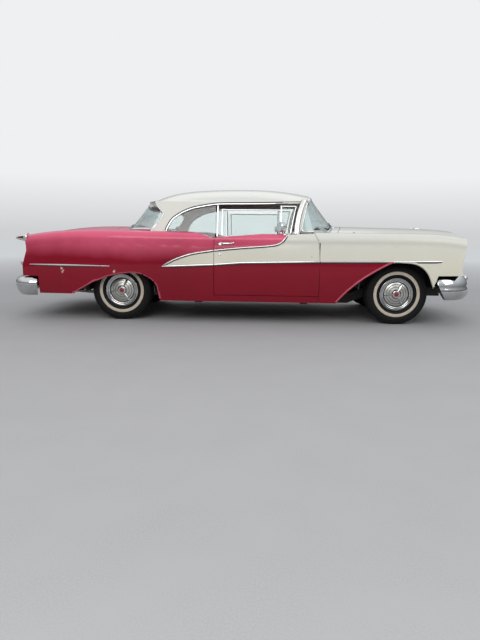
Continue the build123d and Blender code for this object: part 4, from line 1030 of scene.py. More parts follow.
def make_screen_trim():
    """Bright frames round the windshield and the rear window."""
    for name, node, centre, angles, inside, low, width in (
            ("windshield", "windshield", 0.50, spread(-77, 77, 61), 1.15, 0.98, 0.028),
            ("rear window", "rear_window", -0.80, spread(104, 256, 61), 1.15, 0.98, 0.040)):
        points, outwards = rim_line(node, centre, angles, inside, low)
        points = [point + Vector((0, 0, width * 0.32)) for point in points]
        free_strip(f"{name} lower frame", points, outwards, half_round(width, 0.015), "root")
    points, outwards = rim_line("windshield", 0.50, spread(-71, 71, 57), 1.15, 1.42)
    free_strip("windshield upper frame", [point - Vector((0, 0, 0.004)) for point in points], outwards,
               flat_bar(0.008, 0.016), "root")
    points, outwards = meeting_line("rear_window", "roof", -0.80, spread(109, 251, 72), 1.27, 1.37)
    free_strip("rear window upper frame", points, outwards, half_round(0.034, 0.013), "root")
    for side_name, side in SIDES.items():
        out = Vector((0.1, side * 0.94, 0.3)).normalized()
        line = smooth_line([(0.596, 0.995), (0.603, 1.08), (0.623, 1.20), (0.652, 1.30),
                            (0.684, 1.37)], 4)
        points = [Vector((p.x, side * (0.8025 - (p.y - 0.985) * 0.323), p.y)) for p in line]
        free_strip(f"pillar cover {side_name}", points, [out] * len(points), flat_bar(0.006, 0.050), "root",
                   "satin metal")
        for shift, label in ((-0.0275, "rear"), (0.0275, "front")):
            edge = [point + Vector((shift, 0, 0)) for point in points]
            free_strip(f"pillar seal {label} {side_name}", edge, [out] * len(edge), flat_bar(0.005, 0.005),
                       "root", "seal rubber")
        glass = surface_of(["windshield"])
        line = smooth_line([(0.720, 1.368), (0.701, 1.28), (0.680, 1.18), (0.660, 1.085),
                            (0.654, 1.050), (0.661, 1.029), (0.684, 1.019), (0.730, 1.019)], 5)
        points, outwards = side_points(glass, [(p.x, p.y) for p in line], side, 0.001)
        free_strip(f"windshield end frame {side_name}", points, outwards, half_round(0.022, 0.010), "root")
        line = smooth_line([(-0.985, 1.302), (-0.935, 1.248), (-0.897, 1.205), (-0.915, 1.150),
                            (-0.960, 1.090), (-1.030, 1.012)], 4)
        pane_strip(f"rear pillar edge {side_name}", [(p.x - 0.004, p.y) for p in line], side,
                   half_round(0.011, 0.005), "root", lift=0.0)


# How far the strips on the panes stand from the window plane
PANE_STRIP_LIFT = -0.008


def make_side_window_trim():
    """Bright frames of the side windows, and dark seals along the roof rails that also serve as painted
    shadow under the roof edge.
    """
    for side_name, side in SIDES.items():
        door = "door_body_" + side_name
        chrome_points = rail_points(RAIL_LINE, side, 0.0, 0.004)
        outs = [Vector((0, side * 0.96, 0.28))] * len(chrome_points)
        free_strip(f"roof rail strip {side_name}", chrome_points, outs, flat_bar(0.006, 0.016), "root")
        # The dark strip along the roof's lower edge is a seal and also the painted shadow under the roof
        # edge.
        seal_and_shadow_points = rail_points(RAIL_LINE, side, 0.0125, 0.003)
        free_strip(f"roof rail seal {side_name}", seal_and_shadow_points, outs, flat_bar(0.004, 0.012), "root",
                   "seal rubber")
        bar, wide = flat_bar(0.007, 0.012), flat_bar(0.009, 0.015)
        for name, line, profile, body in (
                ("door pane top", [(-0.239, 1.255), (0.10, 1.255), (0.416, 1.255)], bar, door),
                ("door pane rear", [(-0.232, 0.972), (-0.232, 1.10), (-0.232, 1.261)], bar, door),
                ("vent bar", [(0.425, 0.990), (0.425, 1.15), (0.425, 1.302)], wide, door),
                ("vent frame", [(0.532, 0.998), (0.537, 1.04), (0.558, 1.15), (0.588, 1.298)], bar, door),
                ("vent top", [(0.432, 1.298), (0.51, 1.298), (0.592, 1.298)], bar, door),
                ("quarter pane front", [(-0.285, 0.958), (-0.285, 1.10), (-0.285, 1.300)], wide, "root")):
            pane_strip(f"{name} {side_name}", line, side, profile, body, PANE_STRIP_LIFT)


def side_points(tree, line, side, lift):
    """Places on a panel's side, lifted off it, with the panel's directions."""
    points, outwards = [], []
    for x, z, *_ in line:
        hit, normal = side_hit(tree, x, z, side)
        points.append(hit + normal * lift)
        outwards.append(normal)
    return points, outwards


ARCHES = {
    "fender": [(2.068, 0.440), (2.023, 0.545), (1.981, 0.608), (1.923, 0.655), (1.843, 0.684),
               (1.740, 0.691), (1.636, 0.691), (1.512, 0.632), (1.322, 0.513), (1.163, 0.378),
               (1.070, 0.276), (1.050, 0.250)],
    "quarter": [(-0.913, 0.262), (-0.941, 0.414), (-1.005, 0.488), (-1.105, 0.538), (-1.204, 0.555),
                (-1.358, 0.539), (-1.496, 0.506), (-1.671, 0.435), (-1.813, 0.357), (-1.900, 0.306)],
}


# How far a lip stands outside the line of its arch in side view
ARCH_LIP_RISE = 0.014


def make_arch_lips():
    """The rolled lips of the wheel openings."""
    lip = half_round(0.023, 0.011)
    for side_name, side in SIDES.items():
        for panel, line in ARCHES.items():
            node = f"{panel}_{side_name}"
            tree = surface_of([node])
            rows = smooth_line(line, 5)
            rise = ARCH_LIP_RISE if panel == "fender" else -ARCH_LIP_RISE
            moved = []
            for index, row in enumerate(rows):
                along = (rows[min(index + 1, len(rows) - 1)] - rows[max(index - 1, 0)]).normalized()
                moved.append((row.x + along.y * rise, row.y - along.x * rise))
            points, outwards = side_points(tree, moved, side, -0.001)
            # The lips take the lighter lip paint: a painted highlight along the arch edges.
            free_strip(f"{panel} arch lip {side_name}", points, outwards, lip, "root", "highlit lip paint")


# Lamps

def spin_x(bm, profile, steps, place):
    """Turns a line of (forward, radius) points round the X axis, put at a place."""
    start = set(bm.verts)
    verts = [bm.verts.new((along, 0, radius)) for along, radius in profile]
    edges = [bm.edges.new((a, b)) for a, b in zip(verts, verts[1:])]
    bmesh.ops.spin(bm, geom=verts + edges, cent=(0, 0, 0), axis=(1, 0, 0), angle=2 * math.pi, steps=steps,
                   use_merge=True, use_duplicate=False)
    made = [vert for vert in bm.verts if vert not in start]
    bmesh.ops.transform(bm, matrix=place, verts=made)


def turned_piece(name, profile, place, material, body, steps=48, degrees=35):
    """One turned piece along X."""
    bm = bmesh.new()
    spin_x(bm, profile, steps, place)
    return place_piece(bm, name, [material], body, degrees)


def make_lamps():
    """Headlamps with rings and lenses, parking lamps, tail lamps and rear reflectors."""
    ring = [(0.000, 0.000), (0.000, 0.0975), (0.070, 0.0975), (0.078, 0.1010), (0.088, 0.1000),
            (0.092, 0.0960), (0.090, 0.0900), (0.084, 0.0865), (0.080, 0.0860), (0.045, 0.0700),
            (0.020, 0.0350), (0.016, 0.0)]
    lens = [(0.082, 0.0855), (0.086, 0.0850), (0.091, 0.0740), (0.0955, 0.0520), (0.0975, 0.0260),
            (0.0980, 0.0), (0.0930, 0.0), (0.0925, 0.0260), (0.0905, 0.0520), (0.0860, 0.0740),
            (0.0815, 0.0850), (0.082, 0.0855)]
    for side_name, side in SIDES.items():
        place = Matrix.Translation((2.330, side * 0.770, 0.800))
        shell = turned_piece(f"headlamp ring {side_name}", ring, place, "chrome", "root")
        turned_piece(f"headlamp lens {side_name}", lens, place, "clear lens", "root")
        if side > 0:
            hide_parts("headlamps")
        small = Matrix.Translation((2.388, side * 0.770, 0.630)) @ Matrix.Diagonal((1, 1.5, 1, 1))
        turned_piece(f"parking lamp ring {side_name}",
                     [(-0.01, 0), (-0.01, 0.036), (0.012, 0.036), (0.018, 0.032), (0.014, 0.028),
                      (0.008, 0.027), (0.004, 0.0)],
                     small, "chrome", "root", 32)
        turned_piece(f"parking lamp lens {side_name}",
                     [(0.006, 0), (0.008, 0.0265), (0.016, 0.024), (0.022, 0.014), (0.024, 0.0)],
                     small, "amber lens", "root", 32)
        back = Matrix.Translation((-2.482, side * 0.868, 0.645)) @ Matrix.Rotation(math.pi, 4, "Z")
        turned_piece(f"rear reflector ring {side_name}",
                     [(-0.012, 0), (-0.012, 0.032), (0.014, 0.032), (0.020, 0.028), (0.016, 0.025),
                      (0.008, 0.024), (0.006, 0.0)],
                     back, "chrome", "root", 32)
        turned_piece(f"rear reflector {side_name}",
                     [(0.006, 0), (0.008, 0.0238), (0.020, 0.021), (0.028, 0.012), (0.030, 0.0)],
                     back, "red lens", "root", 32)
        make_tail_lamp(side_name, side)


def make_tail_lamp(side_name, side):
    """A pointed chrome housing with a red lens let into its sides and end."""
    rows = ((-2.418, 0.8500, 0.9250, 0.0500, 0.0480), (-2.426, 0.8500, 0.9250, 0.0515, 0.0495),
            (-2.440, 0.8495, 0.9250, 0.0515, 0.0480), (-2.452, 0.8490, 0.9250, 0.0495, 0.0450),
            (-2.470, 0.8480, 0.9245, 0.0470, 0.0405), (-2.490, 0.8470, 0.9240, 0.0435, 0.0350),
            (-2.510, 0.8460, 0.9235, 0.0400, 0.0300), (-2.528, 0.8450, 0.9210, 0.0340, 0.0240),
            (-2.546, 0.8435, 0.9180, 0.0240, 0.0160), (-2.560, 0.8425, 0.9160, 0.0130, 0.0080),
            (-2.566, 0.8420, 0.9150, 0.0050, 0.0030))
    bm = bmesh.new()
    places = []
    for x, y, z, wide, tall in rows:
        place = Matrix(((0, 0, -1), (1, 0, 0), (0, -1, 0))).to_4x4() @ Matrix.Diagonal((wide, tall, 1, 1))
        place.translation = Vector((x, side * y, z))
        places.append(place)
    sweep(bm, places, round_bar(1.0, 32))
    bmesh.ops.recalc_face_normals(bm, faces=bm.faces)
    lens = []
    for face in bm.faces:
        middle = face.calc_center_median()
        if len(face.verts) == 4 and -2.548 < middle.x < -2.455 and abs(face.normal.y) > 0.84:
            lens.append(face)
    bmesh.ops.inset_region(bm, faces=lens, thickness=0.0015, depth=-0.002)
    for face in lens:
        face.material_index = 1
    piece = place_piece(bm, f"tail lamp {side_name}", ["chrome", "red lens"], "root", 40)
    if side > 0:
        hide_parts("tail_lamps")


# Small fittings

def bent_bar(name, points, radius, material, body, count=10, sizes=None, up=(0, 0, 1)):
    """A round bar through some points."""
    bm = bmesh.new()
    sweep(bm, path_places(points, [Vector(up)] * len(points)), round_bar(radius, count), sizes)
    return place_piece(bm, name, [material], body, 60)


def make_door_handles():
    """Pull handles with push buttons, and key locks."""
    for side_name, side in SIDES.items():
        body, tree = "door_body_" + side_name, surface_of(["door_" + side_name])
        line = smooth_line([(-0.232, 0.878, 0.002), (-0.226, 0.888, 0.020), (-0.200, 0.892, 0.032),
                            (-0.150, 0.893, 0.034), (-0.112, 0.892, 0.026), (-0.094, 0.890, 0.002)], 4)
        points = []
        for row in line:
            hit, normal = side_hit(tree, row.x, row.y, side)
            points.append(hit + normal * row.z)
        bm = bmesh.new()
        sweep(bm, path_places(points, [Vector((0, side, 0.2))] * len(points)),
              [(o * 0.62, a) for o, a in round_bar(0.0085, 12)])
        place_piece(bm, f"door handle {side_name}", ["chrome"], body, 60)
        for label, x, z, profile in (
                ("handle rear foot", -0.236, 0.874, [(-0.004, 0.0195), (0.004, 0.0190), (0.008, 0.0165),
                                                     (0.009, 0.0125), (0.020, 0.0120), (0.022, 0.0105),
                                                     (0.0225, 0.0)]),
                ("handle front foot", -0.094, 0.890, [(-0.004, 0.0125), (0.004, 0.0120), (0.009, 0.0090),
                                                      (0.012, 0.0)]),
                ("door lock", -0.236, 0.765, [(-0.004, 0.0120), (0.003, 0.0118), (0.006, 0.0095),
                                              (0.0045, 0.0080), (0.0055, 0.0030), (0.0020, 0.0025),
                                              (0.0020, 0.0)])):
            hit, normal = side_hit(tree, x, z, side)
            place = turned_to(hit, normal)
            turned_piece(f"{label} {side_name}", profile, place, "chrome", body, 28, 40)


def make_mirrors():
    """Round door mirrors on curved stems."""
    for side_name, side in SIDES.items():
        body = "door_body_" + side_name
        foot = Vector((0.468, side * 0.872, 0.990))
        head = Vector((0.412, side * 0.925, 1.066))
        line = smooth_line([foot - Vector((0, 0, 0.01)), foot + Vector((-0.004, side * 0.010, 0.024)),
                            head + Vector((0.040, -side * 0.020, -0.030)), head + Vector((0.026, 0, -0.004))],
                           6)
        bent_bar(f"mirror stem {side_name}", line, 0.0075, "chrome", body, up=(0, side, 0))
        facing = Vector((-0.93, side * 0.34, 0.05)).normalized()
        place = turned_to(head, facing)
        turned_piece(f"mirror shell {side_name}",
                     [(-0.078, 0.0), (-0.075, 0.014), (-0.064, 0.031), (-0.042, 0.046), (-0.014, 0.0535),
                      (0.004, 0.0560), (0.010, 0.0550), (0.010, 0.0515), (0.006, 0.0505), (0.004, 0.0)],
                     place, "chrome", body, 48, 40)
        turned_piece(f"mirror glass {side_name}",
                     [(0.005, 0.0), (0.0060, 0.0500), (0.0085, 0.0495), (0.0090, 0.0)],
                     place, "mirror glass", body, 48, 40)
        upright = Matrix.Translation(foot - Vector((0, 0, 0.004))) @ Matrix.Rotation(-math.pi / 2, 4, "Y")
        turned_piece(f"mirror foot {side_name}",
                     [(-0.004, 0.0), (-0.004, 0.021), (0.004, 0.020), (0.009, 0.013), (0.012, 0.0)],
                     upright @ Matrix.Diagonal((1, 0.7, 1.5, 1)), "chrome", body, 32, 40)


def make_wipers():
    """Two wipers parked along the windshield's foot."""
    tree = surface_of(["windshield"])
    base, _ = rim_line("windshield", 0.50, spread(-50, 50, 21), 1.15, 0.98)

    def on_glass(y, rise, lift):
        foot = min(base, key=lambda point: abs(point.y - y))
        z = foot.z + rise
        outward = Vector((foot.x - 0.50, y, 0)).normalized()
        hit = tree.ray_cast(Vector((0.50, 0, z)) + outward * 2.5, -outward)[0]
        return hit + outward * lift

    for name, pivot_y, reach in (("right", -0.33, -1), ("left", 0.12, -1)):
        pivot = on_glass(pivot_y, 0.004, 0.030)
        bent_bar(f"{name} wiper arm", smooth_line([pivot, on_glass(pivot_y + reach * 0.08, 0.020, 0.026),
                 on_glass(pivot_y + reach * 0.20, 0.038, 0.014)], 6), 0.004, "stainless", "root")
        blade = [on_glass(pivot_y + reach * (0.04 + 0.32 * i / 8), 0.020 + 0.028 * i / 8, 0.006)
                 for i in range(9)]
        free_strip(f"{name} wiper blade", blade, [Vector((0.9, 0, 0.4))] * 9, flat_bar(0.010, 0.006), "root",
                   "seal rubber")
        turned_piece(f"{name} wiper pivot",
                     [(-0.012, 0.0), (-0.012, 0.014), (0.004, 0.013), (0.010, 0.009), (0.012, 0.0)],
                     Matrix.Translation(pivot) @ Matrix.Rotation(-math.pi / 2, 4, "Y"), "chrome", "root",
                     24, 40)


def make_hood_and_deck_fittings():
    """The plain hood ornament, the fender grommet, the deck lid's lock and pull, and a blank plate."""
    hood_top, _, _, _ = surface_of(["hood"]).ray_cast(Vector((2.12, 0, 1.3)), Vector((0, 0, -1)))
    bm = bmesh.new()
    rows = ((2.045, 0.004, 0.002), (2.058, 0.010, 0.006), (2.085, 0.016, 0.010), (2.120, 0.018, 0.013),
            (2.160, 0.014, 0.011), (2.185, 0.008, 0.006), (2.196, 0.002, 0.002))
    places = []
    for x, wide, tall in rows:
        place = Matrix(((0, 0, 1), (1, 0, 0), (0, 1, 0))).to_4x4() @ Matrix.Diagonal((wide, tall, 1, 1))
        place.translation = Vector((x, 0, hood_top.z + 0.004 + (2.12 - x) * 0.075))
        places.append(place)
    sweep(bm, places, round_bar(1.0, 20))
    place_piece(bm, "hood ornament", ["chrome"], "hood_body", 50)
    spot, normal, _, _ = surface_of(["fender_right"]).ray_cast(Vector((1.226, -0.80, 1.3)),
                                                               Vector((0, 0, -1)))
    turned_piece("fender grommet",
                 [(-0.004, 0.0), (-0.004, 0.013), (0.002, 0.012), (0.004, 0.009), (0.005, 0.0)],
                 turned_to(spot, normal, "Y"), "seal rubber", "root", 24, 40)
    deck = surface_of(["deck_lid"])
    spot, normal, _, _ = deck.ray_cast(Vector((-3.0, 0, 0.86)), Vector((1, 0, 0)))
    place = Matrix.Translation(spot) @ Matrix.Rotation(math.pi, 4, "Z")
    turned_piece("deck lock",
                 [(-0.006, 0.0), (-0.006, 0.030), (0.006, 0.029), (0.012, 0.024), (0.010, 0.019),
                  (0.013, 0.010), (0.008, 0.009), (0.008, 0.0)],
                 place, "chrome", "deck_lid_body", 36, 35)
    line = []
    for index in range(25):
        y = -0.42 + 0.84 * index / 24
        hit = deck.ray_cast(Vector((-3.0, y, 0.785)), Vector((1, 0, 0)))[0]
        line.append(hit + Vector((-0.002, 0, 0)))
    free_strip("deck lid strip", line, [Vector((-1, 0, 0))] * 25, half_round(0.026, 0.012), "deck_lid_body",
               sizes=taper(25, 0.1, 0.1, (0.35, 0.35)))
    bm = bmesh.new()
    put_box(bm, (-2.488, 0, 0.556), (0.006, 0.305, 0.118), 0.003)
    place_piece(bm, "blank plate", ["stainless"], "root", 35)
    for y in (-0.0889, 0.0889):
        turned_piece(f"plate bolt {'left' if y > 0 else 'right'}",
                     [(-0.012, 0.0), (-0.012, 0.0034), (0.002, 0.0034), (0.002, 0.0075), (0.005, 0.0065),
                      (0.006, 0.0)],
                     Matrix.Translation((-2.491, y, 0.560)) @ Matrix.Rotation(math.pi, 4, "Z"),
                     "spring steel", "root", 18, 35)


# Cabin

def draped_sheet(name, tree, centre, size, steps, axes, direction, gap, thickness, materials, body,
                 zones=None):
    """A sheet laid on a surface: a grid whose points are cast along a direction and kept a gap off it."""
    bm = bmesh.new()
    bmesh.ops.create_grid(bm, x_segments=steps[0], y_segments=steps[1], size=0.5)
    across, upward = Vector(axes[0]) * size[0], Vector(axes[1]) * size[1]
    place = Matrix((across, upward, Vector(direction))).transposed().to_4x4()
    place.translation = Vector(centre)
    bmesh.ops.transform(bm, matrix=place, verts=bm.verts)
    direction = Vector(direction)
    lost = []
    for vert in bm.verts:
        hit = tree.ray_cast(vert.co, direction, 0.7)[0]
        if hit is None:
            lost.append(vert)
        else:
            vert.co = hit - direction * gap
    bmesh.ops.delete(bm, geom=lost, context="VERTS")
    if zones:
        for face in bm.faces:
            face.material_index = zones(face.calc_center_median())
    bmesh.ops.recalc_face_normals(bm, faces=bm.faces)
    middle = max(bm.faces, key=lambda face: face.calc_area())
    if middle.normal.dot(direction) > 0:
        bmesh.ops.reverse_faces(bm, faces=bm.faces)
    bmesh.ops.solidify(bm, geom=bm.faces[:], thickness=-thickness)
    bmesh.ops.recalc_face_normals(bm, faces=bm.faces)
    return place_piece(bm, name, materials, body, 45)


# Heights of the bright bands on a door card
CARD_BANDS = (0.600, 0.840)
# Half length of an armrest and how far its ends bend outwards
ARMREST_HALF = 0.13
ARMREST_BOW = 0.022


def make_linings():
    """The headliner, the carpet, the door cards and the trim beside the rear seat."""
    roof = surface_of(["roof"])
    draped_sheet("headliner", roof, (-0.13, 0, 1.20), (1.50, 1.20), (60, 44), ((1, 0, 0), (0, 1, 0)),
                 (0, 0, 1), 0.008, 0.003, ["headliner"], "root")
    floor = surface_of(["floor_pan"])
    draped_sheet("carpet", floor, (0.12, 0, 0.80), (1.74, 1.60), (70, 64), ((1, 0, 0), (0, 1, 0)), (0, 0, -1),
                 0.0015, 0.004, ["carpet"], "root")
    for side_name, side in SIDES.items():
        body = "door_body_" + side_name
        inside = surface_of(["door_" + side_name])
        zones = lambda spot: 1 if 0.60 < spot.z < 0.84 else 0
        draped_sheet(f"door card {side_name}", inside, (0.150, side * 0.45, 0.655), (0.830, 0.540), (60, 40),
                     ((1, 0, 0), (0, 0, 1)), (0, side, 0), 0.0015, 0.004, ["red vinyl", "pleated cloth"],
                     body, zones)
        for height in CARD_BANDS:
            points, outwards = [], []
            for index in range(24):
                hit = inside.ray_cast(Vector((-0.255 + 0.81 * index / 23, side * 0.45, height)),
                                      Vector((0, side, 0)))[0]
                if hit is not None:
                    points.append(hit - Vector((0, side * 0.005, 0)))
                    outwards.append(Vector((0, -side, 0)))
            free_strip(f"door card strip {side_name} {int(height * 100)}", points, outwards,
                       half_round(0.010, 0.004), body, "stainless")
        make_door_furniture(side_name, side, inside, body)
        quarter = surface_of([f"quarter_{side_name}"])
        draped_sheet(f"quarter lining {side_name}", quarter, (-0.690, side * 0.45, 0.665), (0.68, 0.51),
                     (40, 30), ((1, 0, 0), (0, 0, 1)), (0, side, 0), 0.0015, 0.004, ["red vinyl"], "root")


def make_door_furniture(side_name, side, inside, body):
    """Armrest, window crank and release handle inside a door."""
    def on_card(x, z, lift):
        hit = inside.ray_cast(Vector((x, side * 0.45, z)), Vector((0, side, 0)))[0]
        return hit - Vector((0, side * lift, 0))

    bm = bmesh.new()
    middle = on_card(0.02, 0.655, 0.035)
    put_box(bm, middle, (2 * ARMREST_HALF, 0.058, 0.070), 0.016)
    for vert in bm.verts:
        t = abs(vert.co.x - middle.x) / ARMREST_HALF
        vert.co.y += side * ARMREST_BOW * t * t
    rest = place_piece(bm, f"armrest {side_name}", ["red vinyl"], body, 50)
    finish_soft(rest)
    for label, x, z, tip in (("window crank", 0.235, 0.700, (-0.070, -0.065)),
                             ("door release", 0.335, 0.775, (-0.095, 0.0))):
        hub = on_card(x, z, 0.006)
        turned_piece(f"{label} hub {side_name}",
                     [(-0.004, 0.0), (-0.004, 0.024), (0.003, 0.023), (0.010, 0.015), (0.026, 0.012),
                      (0.030, 0.009), (0.031, 0.0)],
                     Matrix.Translation(hub) @ Matrix.Rotation(-side * math.pi / 2, 4, "Z"), "chrome", body,
                     28, 40)
        inward = Vector((0, -side, 0))
        start = hub + inward * 0.022
        end = start + Vector((tip[0], -side * 0.012, tip[1]))
        bent_bar(f"{label} arm {side_name}", smooth_line([start, (start + end) / 2 + inward * 0.006, end], 4),
                 0.0065, "chrome", body, up=inward)
        if label == "window crank":
            turned_piece(f"crank knob {side_name}",
                         [(0.0, 0.0), (0.0, 0.006), (0.006, 0.008), (0.016, 0.0125), (0.024, 0.0130),
                          (0.030, 0.010), (0.032, 0.0)],
                         Matrix.Translation(end) @ Matrix.Rotation(-side * math.pi / 2, 4, "Z"),
                         "ivory plastic", body, 28, 40)


def finish_soft(piece, levels=2):
    """A subdivided padded piece."""
    rounding = piece.modifiers.new("Rounding", "SUBSURF")
    rounding.levels = rounding.render_levels = levels


# How many frames the pads are blown up for
CLOTH_FRAMES = 20


def swollen_pad(outline, half):
    """A bench pad: a bevelled bar of some side-view outline, blown up as cloth and held to its room."""
    bm = bmesh.new()
    ring = [bm.verts.new((x, -half, z)) for x, z in outline]
    edges = [bm.edges.new((a, b)) for a, b in zip(ring, ring[1:] + ring[:1])]
    bmesh.ops.contextual_create(bm, geom=edges)
    made = bmesh.ops.extrude_face_region(bm, geom=bm.faces[:])["geom"]
    bmesh.ops.translate(bm, vec=(0, 2 * half, 0),
                        verts=[g for g in made if isinstance(g, bmesh.types.BMVert)])
    bmesh.ops.recalc_face_normals(bm, faces=bm.faces)
    bmesh.ops.bevel(bm, geom=bm.edges[:], offset=0.020, offset_type="OFFSET", segments=3, profile=0.5,
                    affect="EDGES", material=-1)
    mesh = bpy.data.meshes.new("pad form")
    bm.to_mesh(mesh)
    bm.free()
    form = bpy.data.objects.new("pad form", mesh)
    bpy.context.scene.collection.objects.link(form)
    voxels = form.modifiers.new("Voxels", "REMESH")
    voxels.mode = "VOXEL"
    voxels.voxel_size = 0.0105
    apply_modifiers(form)
    before = [vert.co.copy() for vert in form.data.vertices]
    cloth = form.modifiers.new("Cloth", "CLOTH")
    cloth.settings.use_pressure = True
    cloth.settings.uniform_pressure_force = 4.0
    cloth.settings.quality = 5
    cloth.settings.mass = 0.4
    cloth.settings.tension_stiffness = cloth.settings.compression_stiffness = 20
    cloth.settings.effector_weights.gravity = 0.0
    cloth.collision_settings.use_collision = False
    cloth.point_cache.frame_start, cloth.point_cache.frame_end = 1, CLOTH_FRAMES
    for moment in range(1, CLOTH_FRAMES + 1):
        bpy.context.scene.frame_set(moment)
    apply_modifiers(form)
    bpy.context.scene.frame_set(1)
    for vert, start in zip(form.data.vertices, before):
        shift = vert.co - start
        if shift.length > 0.016:
            vert.co = start + shift.normalized() * 0.016
    return form


def apply_modifiers(thing):
    """Puts the result of a piece's modifiers into its mesh."""
    thing_now = thing.evaluated_get(bpy.context.evaluated_depsgraph_get())
    mesh = bpy.data.meshes.new_from_object(thing_now)
    thing.modifiers.clear()
    thing.data = mesh


def bench_pad(name, node, outline, half, insert, facing, replace=True):
    """One pad of a bench: vinyl round the edge and a pleated cloth insert with a welt."""
    form = swollen_pad(outline, half)
    bm = bmesh.new()
    bm.from_mesh(form.data)
    bpy.data.objects.remove(form)
    facing = Vector(facing).normalized()
    low, high, edge = insert
    axis = 0 if facing.z > 0.8 else 2
    bm.normal_update()
    moves = {}
    for vert in bm.verts:
        lean = vert.normal.dot(facing)
        if lean > 0.45 and abs(vert.co.y) < half - edge and low < vert.co[axis] < high:
            groove = abs(math.sin(math.pi * vert.co.y / PLEAT))
            moves[vert] = -facing * 0.008 * (1 - min(1.0, groove * 1.7))
        if lean > 0.3 and abs(vert.co.y) < 0.012 and node == "front_seat" and axis == 2:
            moves[vert] = -facing * 0.010
    for vert, move in moves.items():
        vert.co += move
    bmesh.ops.smooth_vert(bm, verts=bm.verts, factor=0.25, use_axis_x=True, use_axis_y=True, use_axis_z=True)
    bm.normal_update()
    for face in bm.faces:
        middle = face.calc_center_median()
        if face.normal.dot(facing) > 0.3 and abs(middle.y) < half - edge and low < middle[axis] < high:
            face.material_index = 1
    tree = BVHTree.FromBMesh(bm)
    corners = [(low, -half + edge), (high, -half + edge), (high, half - edge), (low, half - edge),
               (low, -half + edge)]
    points, outwards = [], []
    for (a0, y0), (a1, y1) in zip(corners, corners[1:]):
        count = max(2, round(math.hypot(a1 - a0, y1 - y0) / 0.03))
        for index in range(count):
            level, y = a0 + (a1 - a0) * index / count, y0 + (y1 - y0) * index / count
            if axis == 0:
                hit, normal = tree.ray_cast(Vector((level, y, 2.0)), Vector((0, 0, -1)), 3.0)[:2]
            else:
                hit, normal = tree.ray_cast(Vector((1.0, y, level)), Vector((-1, 0, 0)), 3.0)[:2]
            if hit is not None:
                points.append(hit + normal * 0.001)
                outwards.append(normal)
    piece = place_piece(bm, name, ["red vinyl", "pleated cloth"], "root", 80)
    if replace:
        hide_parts(node)
    bm = bmesh.new()
    sweep(bm, path_places(points + points[:1], outwards + outwards[:1]), round_bar(0.0055, 8))
    place_piece(bm, name + " welt", ["ivory vinyl"], "root", 60)


def seat_base(name, x_low, x_high, z_low, z_high, half, tunnel):
    """The frame under a bench, on each side of the tunnel."""
    bm = bmesh.new()
    for side in (1, -1):
        width = half - tunnel
        put_box(bm, ((x_low + x_high) / 2, side * (tunnel + width / 2), (z_low + z_high) / 2),
                (x_high - x_low, width, z_high - z_low), 0.008)
    place_piece(bm, name, ["black paint"], "root", 40)


def make_benches():
    """The front and rear benches."""
    bench_pad("front bench cushion", "front_seat",
              [(-0.135, 0.425), (0.335, 0.425), (0.362, 0.470), (0.362, 0.525), (0.335, 0.541),
               (-0.150, 0.486)],
              0.665, (-0.060, 0.300, 0.110), (-0.11, 0, 0.99))
    bench_pad("front bench back", "front_seat",
              [(-0.190, 0.470), (-0.270, 0.440), (-0.372, 0.855), (-0.345, 0.872), (-0.305, 0.872),
               (-0.200, 0.520)],
              0.665, (0.575, 0.815, 0.110), (0.95, 0, 0.31), False)
    bench_pad("rear bench cushion", "rear_seat",
              [(-0.760, 0.405), (-0.545, 0.405), (-0.510, 0.470), (-0.530, 0.505), (-0.850, 0.497),
               (-0.800, 0.450)],
              0.660, (-0.800, -0.570, 0.090), (0.0, 0, 1.0))
    bench_pad("rear bench back", "rear_seat",
              [(-0.885, 0.565), (-1.040, 0.900), (-1.000, 0.912), (-0.965, 0.880), (-0.810, 0.560),
               (-0.850, 0.540)],
              0.525, (0.620, 0.850, 0.080), (0.90, 0, 0.44), False)
    seat_base("front bench frame", -0.130, 0.330, 0.336, 0.432, 0.640, 0.190)
    seat_base("rear bench frame", -0.755, -0.550, 0.336, 0.412, 0.640, 0.190)
    bm = bmesh.new()
    bmesh.ops.create_grid(bm, x_segments=36, y_segments=1, size=1.0)
    shelf = surface_of(["parcel_shelf"])
    for vert in bm.verts:
        y = vert.co.x * 0.72
        above = shelf.ray_cast(Vector((-1.050, y, 0.80)), Vector((0, 0, 1)), 0.4)[0]
        top = above.z - 0.001 if above is not None else 0.955
        vert.co = Vector((-1.050, y, top if vert.co.y > 0 else 0.510))
    bmesh.ops.solidify(bm, geom=bm.faces[:], thickness=0.006)
    place_piece(bm, "board behind the rear bench", ["red vinyl"], "root", 40)


